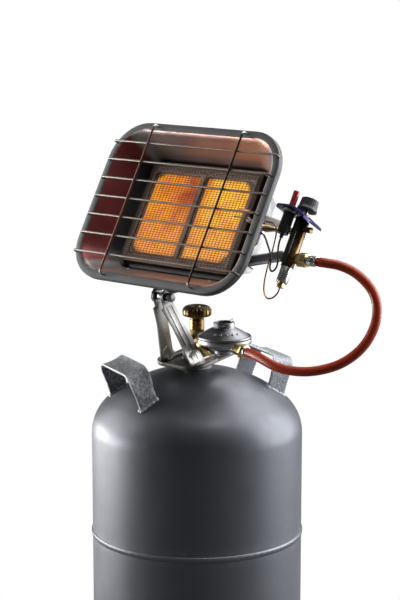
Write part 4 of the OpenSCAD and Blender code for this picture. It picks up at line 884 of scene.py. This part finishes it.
def make_valve():
    dress(cad_copy("neck_boss", 0.8, 2, 50), NECK_COAT, "root", "neck_coat", "neck_boss")
    dress_copies(
        ("valve_body", 0.5, DARK_BRASS, "root", "brass"),
        ("valve_spindle", 0.3, PLATED, "handwheel", "plated_steel"),
    )
    rim = WHEEL_Z + HUB_H

    def flutes(turn, r, z):
        depth = 1.5 * max(0.0, -cos(turn * WHEEL_FLUTES)) ** 0.8
        inside = min(1, max(0, (r - 0.8 * WHEEL_R) / (0.15 * WHEEL_R)))
        return r - depth * inside if z > rim - 0.5 else r

    profile = [
        (0, WHEEL_Z), (HUB_R - 0.6, WHEEL_Z), (HUB_R, WHEEL_Z + 0.6), (HUB_R, rim - 5),
        (HUB_R - 0.9, rim - 4.4), (HUB_R - 0.9, rim - 3.2), (HUB_R, rim - 2.6), (HUB_R + 0.3, rim - 0.8),
        (HUB_R + 1.2, rim), (WHEEL_R - 2.4, rim + 0.2), (WHEEL_R - 0.9, rim + 0.9), (WHEEL_R, rim + 2.2),
        (WHEEL_R, rim + 5), (WHEEL_R, rim + 8), (WHEEL_R - 0.5, rim + 10), (WHEEL_R - 1.9, rim + 12.2),
        (WHEEL_R - 4.2, rim + 13.8), (WHEEL_R - 6.5, rim + 14.6), (WHEEL_R - 8, rim + 14.9),
        (WHEEL_R - 9, rim + 14.4), (WHEEL_R - 9.6, rim + 13.4), (6.4, rim + 13.2), (5.6, rim + 13.6),
        (5.2, rim + 14.6), (4.2, rim + 15.2), (0, rim + 15.4),
    ]
    wheel = lathe("handwheel_rim", profile, None, 320, wobble=flutes)
    # Faces turned upward get the painted shade material.
    paint(wheel, WHEEL_BRASS, WHEEL_TOP_SHADE)
    for part in wheel.data.polygons:
        part.material_index = int(part.normal.z > 0.5)
    place_piece(wheel, "handwheel", "brass_wheel", "handwheel")


# ---------- regulator ----------


def make_regulator():
    rim, r = REG_RIM_Z, REG_R
    crimp = lambda turn, radius, z: radius - (0.35 if radius > r - 0.6 and int(turn * 90 / pi) % 2 else 0)
    bowl = [
        (0, -3), (12.6, -3), (14, -1.8), (14.2, 2), (16, 3.6), (20, 5.2), (26, 7.6), (31, 9.8), (33, 11),
        (34.5, 11.6), (r - 1.4, 11.8), (r - 0.4, 12.4), (r, 13.4), (r, rim - 0.6), (r - 0.1, rim), (0, rim),
    ]
    body = lathe("regulator_bowl", bowl, REG_MIDDLE, 180)
    inlet, arm_z = INLET_COLLAR_X - REG_REACH, OUTLET_ARM_Z
    arms = [
        tube("inlet_arm", [(inlet, 0, 0), (-12, 0, 0)], INLET_ARM_R, 32, REG_MIDDLE),
        tube("outlet_arm", [(10, 0, arm_z), (r - 4.9, 0, arm_z)], OUTLET_ARM_R, 32, REG_MIDDLE),
        tube("inlet_collar", [(inlet + 0.2, 0, 0), (inlet + 3.5, 0, 0)], INLET_COLLAR_R, 32, REG_MIDDLE),
    ]
    dress(join("regulator_bowl_and_arms", [body] + arms), CAST, "root", "cast_alloy", "regulator_body")

    z = rim + 1.2
    cover = [
        (0, z), (r - 0.1, z), (r, z + 0.5), (r, z + 1.8), (r - 0.6, z + 2.6), (r - 1.6, z + 2.9),
        (r - 2.6, z + 2.6), (r - 3.2, z + 2.2), (r - 4, z + 2.4),
    ]
    for k in range(1, 12):
        t = k / 12
        cover.append((r - 4 + (TOWER_R + 3 - r + 4) * t, z + 2.4 + 10.4 * t + 0.9 * sin(pi * t)))
    cover += [
        (TOWER_R + 1.6, z + 13.4), (TOWER_R + 0.5, z + 14.2), (TOWER_R, z + 15.4), (TOWER_R, z + 20.2),
        (TOWER_R - 0.4, z + 21.2), (TOWER_R - 1, z + 21.5), (TOWER_R - 1.8, z + 21.1),
        (TOWER_R - 2, z + 20.4), (TOWER_R - 2, z + 16), (0, z + 16),
    ]
    top = lathe("regulator_lid", cover, REG_MIDDLE, 180, wobble=crimp)
    details = [top]

    def round_the_lid(turn, reach, height):
        """A place on the lid, turned round its axis."""
        turned = REG_MIDDLE @ Matrix.Rotation(radians(turn), 4, "Z")
        return turned @ Matrix.Translation((reach, 0, z + height))

    dot = [(0, 1.5), (1.2, 1.4), (1.7, 0.9), (1.9, -0.5)]
    for turn, reach in ((300, 26), (318, 26.5), (336, 26), (354, 26.5), (12, 26), (100, 26), (122, 25)):
        details.append(lathe("cast_dot", dot, round_the_lid(turn, reach, 7.9), 14))
    screw = round_the_lid(-38, TOWER_R - 0.4, 17.8) @ U_AXIS
    details.append(lathe("side_screw", [(2.1, -0.2), (2.1, 0.7), (1.7, 1.1), (0, 1.1)], screw, 20))
    # The lid and its dots take the painted shade casting.
    dress(join("regulator_lid_and_dots", details), LID_SHADE_CAST, "root", "cast_alloy", "regulator_cover")

    loop = [
        Vector((2.6 * cos(t), 0.6 * sin(2 * t), 2.2 + 2.6 * sin(t))) for t in
        [2 * pi * k / 24 for k in range(24)]
    ]
    seal = tube("seal_wire", loop, 0.45, 8, round_the_lid(20, TOWER_R - 1, 22.6), closed=True)
    dress(seal, PLATED, "root", "plated_steel")

    cap = [
        (0, z + 13), (12.5, z + 13), (12.7, z + 13.4), (12.7, z + 16.6), (12, z + 17.2), (9, z + 17.3),
        (8.4, z + 16.4), (4, z + 16.2), (3.4, z + 17.2), (0, z + 17.4),
    ]
    knurl = lambda turn, radius, height: radius - (0.5 if radius > 12.4 and int(turn * 60 / pi) % 2 else 0)
    cap = lathe("adjusting_cap", cap, REG_MIDDLE, 120, wobble=knurl)
    dress(cap, DARK_PLASTIC, "root", "dark_plastic", "regulator_cap")
    dress_copies(
        ("regulator_stem", 0.4, DARK_BRASS, "root", "brass"),
        ("regulator_inlet_nut", 0.7, BRASS, "inlet_nut", "brass"),
        ("regulator_outlet_nuts", 0.6, BRASS, "root", "brass"),
    )
    paint(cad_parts["regulator_diaphragm"], RUBBER)
    paint(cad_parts["regulator_spring"], SPRING)


def make_ferrule(name, node, body, place, length):
    """A crimped sleeve with shallow grooves along it."""
    groove = lambda turn, r, z: r - (0.35 * max(0, cos(turn * 8)) if 1.6 < z < length - 1.6 else 0)
    profile = [
        (5.2, 0), (6.6, 0), (7.3, 0.5), (7.5, 1.3), (7.1, 1.8), (7.1, length * 0.45), (7.4, length * 0.5),
        (7.1, length * 0.55), (7.1, length - 1.9), (7.5, length - 1.4), (7.5, length - 0.5),
        (7.1, length - 0.1), (6.0, length), (5.2, length),
    ]
    dress(lathe(name, profile, place, 96, closed=True, wobble=groove), PLATED, body, "plated_steel", node)


# ---------- bracket ----------


def make_bracket():
    dress_copies(
        ("fork_plate", 0.5, PLATE_STEEL, "root", "bracket_steel"),
        ("left_leg", 0.4, BRACKET, "root", "bracket_steel"),
        ("right_leg", 0.4, BRACKET, "root", "bracket_steel"),
        ("clamp_strap", 0.3, BRACKET, "root", "bracket_steel"),
        ("pivot_bolt", 0.4, PLATED, "root", "plated_steel"),
        ("pivot_spacer", 0.3, PLATED, "root", "plated_steel"),
        ("pivot_grip", 0.4, DARK_PLASTIC, "pivot_grip", "dark_plastic"),
        ("yoke", 0.3, BRACKET, "head", "bracket_steel"),
    )


# ---------- reflector and guard ----------


def make_reflector():
    t = SHEET_T
    front, back = -RIM_BACK, -RIM_BACK - RIM_RETURN
    floor_n = front - DISH_DEPTH
    rim = (RIM_W, RIM_H, RIM_CORNER)
    inner = (RIM_W - 2 * RIM_EDGE, RIM_H - 2 * RIM_EDGE, RIM_CORNER - RIM_EDGE)
    floor = (FLOOR_W, FLOOR_H, FLOOR_CORNER)
    hole = (BURNER_HOLE_W, BURNER_HOLE_H, BURNER_HOLE_CORNER)

    def grown(outline, more, depth, corner=None):
        """An outline (width, height, corner) made wider all round, at a depth."""
        width, height, radius = outline
        return width + more, height + more, radius + (more / 2 if corner is None else corner), depth

    def wall(depth, inset):
        """The dish's wall at a depth behind the rim, between the rim's inside and the floor."""
        share = depth / DISH_DEPTH
        width, height, corner = (a + (b - a) * share for a, b in zip(inner, floor))
        return width - 2 * inset, height - 2 * inset, corner - inset, front - depth

    face = [
        grown(rim, -0.2, back), grown(rim, 0, front - 4), grown(rim, -0.3, front - 1.6),
        grown(rim, -1.3, front - 0.5, -0.7), grown(rim, -3.4, front),
        grown(inner, 3.4, front), grown(inner, 1, front - 0.5), wall(1.5, 0.1),
    ]
    face += [wall(DISH_DEPTH * k / 10, t) for k in range(1, 10)]
    face += [wall(DISH_DEPTH - 1.2, t + 0.2), grown(floor, -4, floor_n), grown(hole, 0, floor_n)]
    rear = [grown(hole, 0, floor_n - t), grown(floor, -2, floor_n - t)]
    rear += [wall(DISH_DEPTH * k / 10 + 0.5, 0) for k in range(9, 0, -1)]
    rear += [
        grown(inner, 2, front - t - 0.6), grown(inner, 5, front - t), grown(rim, -5, front - t),
        grown(rim, -2, front - 2.4), grown(rim, -2 * t, front - 4), grown(rim, -2 * t - 0.2, back, -t),
    ]
    tray = loft("reflector_tray", face + rear, HEAD)
    paint(tray, REFLECTOR, RIM_STEEL, TRAY_BACK)
    inner_w, inner_h, inner_c = inner
    half = (inner_w / 2 + 1 - inner_c, inner_h / 2 + 1 - inner_c)
    for part in tray.data.polygons:
        middle = HEAD_INVERSE @ (part.center / MM)
        facing = HEAD_INVERSE.to_3x3() @ part.normal
        past = hypot(max(0, abs(middle.x) - half[0]), max(0, abs(middle.y) - half[1])) - inner_c
        inside = facing.dot(Vector((-middle.x, -middle.y, 2 * DISH_DEPTH - middle.z))) > 0
        part.material_index = 1 if past > 0 else 0 if inside else 2
    place_piece(tray, "head", "reflector_steel", "reflector")


WIRE_R = 1.5
WIRE_BEND = 4
WIRE_COUNT, WIRE_PITCH = 7, 28.6
WIRE_END_U, UPRIGHT_END_W = 149, 114.5
UPRIGHT_HALF = 81.3
TIP_HIGHLIGHT_LENGTH = 3.5
WIRE_ROWS = [(k - (WIRE_COUNT - 1) / 2) * WIRE_PITCH for k in range(WIRE_COUNT)]


def guard_line(half, front):
    """A straight wire whose ends bend back into the rim."""
    bend = arc(half - WIRE_BEND, front - WIRE_BEND, WIRE_BEND, 0, 90, 8)
    right = [(half, 0, -RIM_BACK - 4)] + [(x, 0, z) for x, z in bend]
    left = [(-x, y, z) for x, y, z in right[::-1]]
    return right + [(half * k, 0, front) for k in (0.6, 0.2, -0.2, -0.6)] + left


def make_guard():
    rows = []
    for up in WIRE_ROWS:
        place = HEAD @ Matrix.Translation((0, up, 0))
        rows.append(tube("row_wire", guard_line(WIRE_END_U, 0), WIRE_R, 16, place))
    dress(join("guard_rows", rows), WIRE, "head", "bright_wire", "guard_horizontal_wires")
    uprights = []
    for side in (-1, 1):
        place = HEAD @ Matrix.Translation((side * UPRIGHT_HALF, 0, 0)) @ Matrix.Rotation(pi / 2, 4, "Z")
        uprights.append(tube("upright_wire", guard_line(UPRIGHT_END_W, 2 * WIRE_R), WIRE_R, 16, place))
        for up in WIRE_ROWS:
            weld = HEAD @ Matrix.Translation((side * UPRIGHT_HALF, up, WIRE_R))
            uprights.append(lathe("spot_weld", arc(0, 0, 1.7, 90, -90, 8), weld, 14))
    guard = join("guard_uprights", uprights)
    # Faces near the uprights' ends get the painted highlight.
    paint(guard, UPRIGHT, WIRE_TIP_HIGHLIGHT)
    for part in guard.data.polygons:
        middle = HEAD_INVERSE @ (part.center / MM)
        part.material_index = int(abs(middle.y) > UPRIGHT_END_W - TIP_HIGHLIGHT_LENGTH)
    place_piece(guard, "head", "bright_wire", "guard_vertical_wires")


# ---------- burner ----------

PLAQUE_W, PLAQUE_GAP, PLAQUE_N = 92, 2, -48
WINDOW_W, WINDOW_H = 86, 126
PAD_PITCH = (5.8, 3.3)
PAD_SIZE = (4.2, 2.2, 0.9)
FRAME_W, FRAME_H, FRAME_N = 204, 152, -45.3
UNLIT_INSET, UNLIT_RISE = 4, 0.2
LIT_SEED, UNLIT_SEED = 4, 9


def pad_tree():
    """Geometry Nodes: a lattice of small raised pads on a plaque."""
    tree = bpy.data.node_groups.new("pad_lattice", "GeometryNodeTree")
    face = tree.interface
    face.new_socket("Geometry", in_out="OUTPUT", socket_type="NodeSocketGeometry")
    sockets = {}
    for kind, names in (
        ("Float", ("Width", "Height", "Bare From", "Bare To", "Bare Up")),
        ("Float", ("Pad Width", "Pad Height", "Pad Depth")),
        ("Int", ("Columns", "Rows", "Seed")),
        ("Material", ("Material",)),
    ):
        for name in names:
            socket = face.new_socket(name, in_out="INPUT", socket_type="NodeSocket" + kind)
            sockets[name] = socket.identifier
    new, link = tree.nodes.new, tree.links.new
    given, out = new("NodeGroupInput"), new("NodeGroupOutput")
    grid = new("GeometryNodeMeshGrid")
    for name, target in (
        ("Width", "Size X"), ("Height", "Size Y"), ("Columns", "Vertices X"), ("Rows", "Vertices Y"),
    ):
        link(given.outputs[name], grid.inputs[target])
    cube = new("GeometryNodeMeshCube")
    size = new("ShaderNodeCombineXYZ")
    for axis, name in enumerate(("Pad Width", "Pad Height", "Pad Depth")):
        link(given.outputs[name], size.inputs[axis])
    link(size.outputs[0], cube.inputs["Size"])
    jitter = new("FunctionNodeRandomValue")
    jitter.data_type = "FLOAT_VECTOR"
    jitter.inputs[0].default_value = (0.94, 0.92, 0.55)
    jitter.inputs[1].default_value = (1.03, 1.05, 1.0)
    link(given.outputs["Seed"], jitter.inputs["Seed"])
    spread = new("GeometryNodeInstanceOnPoints")
    spot, axes = new("GeometryNodeInputPosition"), new("ShaderNodeSeparateXYZ")
    link(spot.outputs[0], axes.inputs[0])
    tests = []
    for axis, name, operation in (
        (0, "Bare From", "GREATER_THAN"), (0, "Bare To", "LESS_THAN"), (1, "Bare Up", "LESS_THAN"),
    ):
        size_of, test = new("ShaderNodeMath"), new("ShaderNodeMath")
        size_of.operation, test.operation = "ABSOLUTE", operation
        link(axes.outputs[axis], size_of.inputs[0])
        link(size_of.outputs[0], test.inputs[0])
        link(given.outputs[name], test.inputs[1])
        tests.append(test.outputs[0])
    both, every = new("ShaderNodeMath"), new("ShaderNodeMath")
    both.operation = every.operation = "MULTIPLY"
    link(tests[0], both.inputs[0])
    link(tests[1], both.inputs[1])
    link(both.outputs[0], every.inputs[0])
    link(tests[2], every.inputs[1])
    bare = new("GeometryNodeDeleteGeometry")
    link(grid.outputs["Mesh"], bare.inputs["Geometry"])
    link(every.outputs[0], bare.inputs["Selection"])
    link(bare.outputs["Geometry"], spread.inputs["Points"])
    link(cube.outputs["Mesh"], spread.inputs["Instance"])
    link(jitter.outputs[0], spread.inputs["Scale"])
    real = new("GeometryNodeRealizeInstances")
    link(spread.outputs["Instances"], real.inputs["Geometry"])
    coat = new("GeometryNodeSetMaterial")
    link(real.outputs["Geometry"], coat.inputs["Geometry"])
    link(given.outputs["Material"], coat.inputs["Material"])
    link(coat.outputs["Geometry"], out.inputs["Geometry"])
    return tree, sockets


def run_tree(name, tree, sockets, values, place):
    """Runs a Geometry Nodes tree on an empty mesh and keeps the plain result, moved to its place."""
    obj = add_object(name, bpy.data.meshes.new(name))
    modifier = obj.modifiers.new(name, "NODES")
    modifier.node_group = tree
    for key, value in values.items():
        modifier[sockets[key]] = value
    apply_modifiers(obj)
    obj.data.transform(place)
    return obj


def lattice(name, centre, depth, size, bare, seed, material):
    """A plate-sized lattice of pads; bare is (from, to, up) where no pad stands."""
    columns, rows = (int(size[k] / PAD_PITCH[k]) for k in (0, 1))
    place = HEAD @ Matrix.Translation((centre, 0, depth))
    scaled = Matrix.Translation(place.to_translation() * MM) @ place.to_3x3().to_4x4()
    values = {
        "Width": (columns - 1) * PAD_PITCH[0] * MM, "Height": (rows - 1) * PAD_PITCH[1] * MM,
        "Pad Width": PAD_SIZE[0] * MM, "Pad Height": PAD_SIZE[1] * MM, "Pad Depth": PAD_SIZE[2] * MM,
        "Bare From": bare[0] * MM, "Bare To": bare[1] * MM, "Bare Up": bare[2] * MM,
        "Columns": columns, "Rows": rows, "Seed": seed, "Material": material,
    }
    return run_tree(name, *pad_tree(), values, scaled)


def make_burner():
    pads = []
    size = (WINDOW_W - 1, WINDOW_H - 1)
    for side, node in ((-1, "plaque_left"), (1, "plaque_right")):
        paint(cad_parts[node], BED_GLOW)
        centre = side * (PLAQUE_GAP + PLAQUE_W) / 2
        depth = PLAQUE_N + PAD_SIZE[2] / 2
        pads.append(lattice(node + "_pads", centre, depth, size, (0, 0, 0), LIT_SEED + side, PAD_GLOW))
    size = (FRAME_W - 2 * UNLIT_INSET, FRAME_H - 2 * UNLIT_INSET)
    bare = (PLAQUE_GAP / 2 + 3.6, PLAQUE_GAP / 2 + PLAQUE_W - 3, WINDOW_H / 2)
    pads.append(lattice("unlit_pads", 0, FRAME_N + UNLIT_RISE, size, bare, UNLIT_SEED, UNLIT))
    place_piece(join("pad_lattice", pads), "head", "hot_ceramic")
    dress_copies(
        ("burner_frame", 0.5, FRAME_STEEL, "head", "burner_frame"),
        ("plaque_gasket", 0.1, FIBRE, "head", "fibre_gasket"),
        ("burner_box", 0.5, BOX_STEEL, "head", "box_steel"),
        ("mixing_tube", 0.2, PLATED, "head", "plated_steel"),
        ("injector", 0.3, BRASS, "head", "brass"),
        ("feed_tube", 0, BRASS, "head", "brass"),
        ("electrode_insulator", 0.4, GLAZE, "head", "glazed_ceramic"),
        ("electrode_rod", 0, ROD, "head", "plated_steel"),
        ("electrode_boot", 0, RUBBER, "head", "black_rubber"),
        ("thermocouple_probe", 0, COPPER, "head", "copper"),
    )


# ---------- controls ----------


KNOB_SKIRT_R, KNOB_TOP_R, KNOB_H = 14, 12, 17
KNOB_LIFT = 4
EDGE_FACE = 0.00006       # square metres: the plate's eased edges have smaller faces than its flats


def make_controls():
    dress_copies(
        ("upper_arm", 0.5, ARM_STEEL, "head", "box_steel"),
        ("lower_arm", 0.4, ARM_STEEL, "head", "box_steel"),
        ("head_screws", 0.3, PLATED, "head", "plated_steel"),
    )
    plate = cad_copy("control_plate", 0.5, 3)
    # Small edge faces turned one way get the painted highlight.
    paint(plate, INDIGO, PLATE_EDGE_HIGHLIGHT)
    for part in plate.data.polygons:
        part.material_index = int(part.area < EDGE_FACE and part.normal.x > 0.25)
    place_piece(plate, "head", "blue_plate", "control_plate")
    dress_copies(
        ("valve_bracket", 0.3, PLATE_STEEL, "head", "bracket_steel"),
        ("gas_valve_body", 0.6, DARK_BRASS, "head", "brass"),
        ("magnet_housing", 0.8, PLATED, "head", "plated_steel"),
        ("thermocouple_nut", 0.5, BRASS, "head", "brass"),
        ("control_spindle", 0.2, PLATED, "control_spindle", "plated_steel"),
        ("piezo_body", 0.4, DARK_PLASTIC, "head", "dark_plastic"),
        ("piezo_nut", 0.6, PLATED, "head", "plated_steel"),
        ("piezo_button", 0.4, RED, "piezo_button", "red_plastic"),
        ("hose_nut_high", 0.8, BRASS, "head", "brass"),
    )
    spring = cad_copy("piezo_spring", 0)
    dress(spring, SPRING, "piezo_button", "spring_steel", "piezo_spring")
    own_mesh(spring)
    line = [HEAD @ p for p in smooth_path(CAPILLARY, LEAD_STEP)]
    dress(tube("capillary", line, CAPILLARY_R, 12), COPPER, "head", "copper", "thermocouple_capillary")
    make_knob()


def make_knob():
    skirt, top, height = KNOB_SKIRT_R, KNOB_TOP_R, KNOB_H
    ribs = lambda turn, r, z: r - (0.3 * max(0, cos(turn * 24)) if 5 < z < height - 1.2 and r > 10 else 0)
    profile = [
        (0, 0), (skirt - 0.5, 0), (skirt, 0.5), (skirt, 2), (skirt - 0.4, 2.7), (top + 1.2, 4),
        (top + 0.8, 5.2),
    ]
    profile += [(top + 0.8 - 0.09 * k, 5.2 + 1.2 * k) for k in range(1, 10)]
    profile += [(top - 0.6, height - 0.9), (top - 1.5, height - 0.2), (top - 2.6, height), (0, height - 0.4)]
    place = HEAD @ Matrix.Translation((CONTROL_U, PLATE_W + KNOB_LIFT, CONTROL_N)) @ W_AXIS
    knob = lathe("knob", profile, place, 192, wobble=ribs)
    dress(knob, KNOB, "control_knob", "knob_plastic", "control_knob")


# ---------- studio ----------


GROUND_REACH = 40000
GROUND_DROP = 0.1


def seen_directly(tree):
    """1 where the camera looks at the surface, also through something clear, and 0 for its light."""
    path = tree.nodes.new("ShaderNodeLightPath")
    seen = tree.nodes.new("ShaderNodeMath")
    seen.operation = "MAXIMUM"
    tree.links.new(path.outputs["Is Camera Ray"], seen.inputs[0])
    tree.links.new(path.outputs["Is Transmission Ray"], seen.inputs[1])
    return seen.outputs[0]


def mix_shaders(tree, factor, first, second, target):
    mix = tree.nodes.new("ShaderNodeMixShader")
    for socket, output in zip(mix.inputs, (factor, first, second)):
        tree.links.new(output, socket)
    tree.links.new(mix.outputs[0], target)


def make_world():
    """White where it is seen, and a faint cool light on everything else."""
    world = bpy.data.worlds.new("studio")
    bpy.context.scene.world = world
    world.use_nodes = True
    tree = world.node_tree
    shade, white = tree.nodes["Background"], tree.nodes.new("ShaderNodeBackground")
    for node, colour, strength in ((shade, (0.9, 0.94, 1.0, 1), 0.06), (white, (1, 1, 1, 1), 1.0)):
        node.inputs["Color"].default_value = colour
        node.inputs["Strength"].default_value = strength
    surface = tree.nodes["World Output"].inputs["Surface"]
    mix_shaders(tree, seen_directly(tree), shade.outputs[0], white.outputs[0], surface)


def make_studio():
    bpy.context.scene.view_settings.view_transform = "Standard"
    make_world()
    corners = [(x * GROUND_REACH, y * GROUND_REACH, 0) for x, y in ((-1, -1), (1, -1), (1, 1), (-1, 1))]
    floor = mesh_object("floor", corners, [(0, 1, 2, 3)], Matrix.Translation((0, 0, -GROUND_DROP)))
    paint(floor, floor_material())
    for name, spot, target, size, power, colour in (
        ("left_low_box", (-1.95, -0.8, 0.24), (0, 0, 0.24), (2.0, 0.46), 74, (1, 0.99, 0.98)),
        ("left_high_box", (-1.93, -0.79, 1.35), (0, 0, 0.5), (2.0, 1.3), 48, (1, 0.99, 0.98)),
        ("right_box", (1.42, 1.8, 0.9), (0, 0, 0.45), (2.3, 2.2), 145, (0.95, 0.97, 1)),
        ("top_box", (0.3, 0.85, 2.3), (0, 0, 0.45), (2.6, 2.6), 112, (1, 1, 1)),
    ):
        lamp = add_object(name, bpy.data.lights.new(name, "AREA"))
        lamp.data.shape = "RECTANGLE"
        lamp.data.size, lamp.data.size_y = size
        lamp.data.energy = power
        lamp.data.color = colour
        lamp.data.spread = pi
        lamp.location = spot
        aim = Vector(target) - Vector(spot)
        lamp.rotation_euler = aim.to_track_quat("-Z", "Y").to_euler()


def floor_material():
    """Pale ground that fades to white away from the object."""
    m = Nodes("pale_floor")
    tone = m.ramp(m.noise(1.5, 2), (0.4, (0.12, 0.12, 0.12)), (0.6, (0.13, 0.13, 0.13)))
    m.set(Base_Color=tone, Roughness=0.7)
    far = m.add("ShaderNodeVectorMath", operation="LENGTH")
    m.link(m.coordinates, far.inputs[0])
    fade = m.span(far.outputs["Value"], 0.62, 1.0, 0.16, 0.42)
    seen = m.math("MULTIPLY", seen_directly(m.tree), fade)
    glow = m.add("ShaderNodeEmission")
    glow.inputs["Color"].default_value = (1, 1, 1, 1)
    glow.inputs["Strength"].default_value = 1.0
    surface = m.tree.nodes["Material Output"].inputs["Surface"]
    mix_shaders(m.tree, seen, m.shader.outputs[0], glow.outputs[0], surface)
    return m.material


make_camera()
make_cords()
make_studio()
make_bottle()
make_handle("right_handle", "handle_right", radians(HANDLE_TURN), PAINTED_LIGHT_HANDLE_COAT)
make_handle("left_handle", "handle_left", radians(HANDLE_TURN + 180), HANDLE_COAT)
make_valve()
make_regulator()
make_ferrule(
    "low_ferrule", "hose_ferrule_low", "root",
    REGULATOR @ Matrix.Translation((LOW_FERRULE_X, 0, OUTLET_ARM_Z)) @ U_AXIS, LOW_FERRULE_L,
)
make_ferrule(
    "high_ferrule", "hose_ferrule_high", "head",
    HEAD @ Matrix.Translation((HIGH_FERRULE_U, HIGH_FERRULE_W, CONTROL_N)) @ U_AXIS, HIGH_FERRULE_L,
)
make_bracket()
make_reflector()
make_guard()
make_burner()
make_controls()
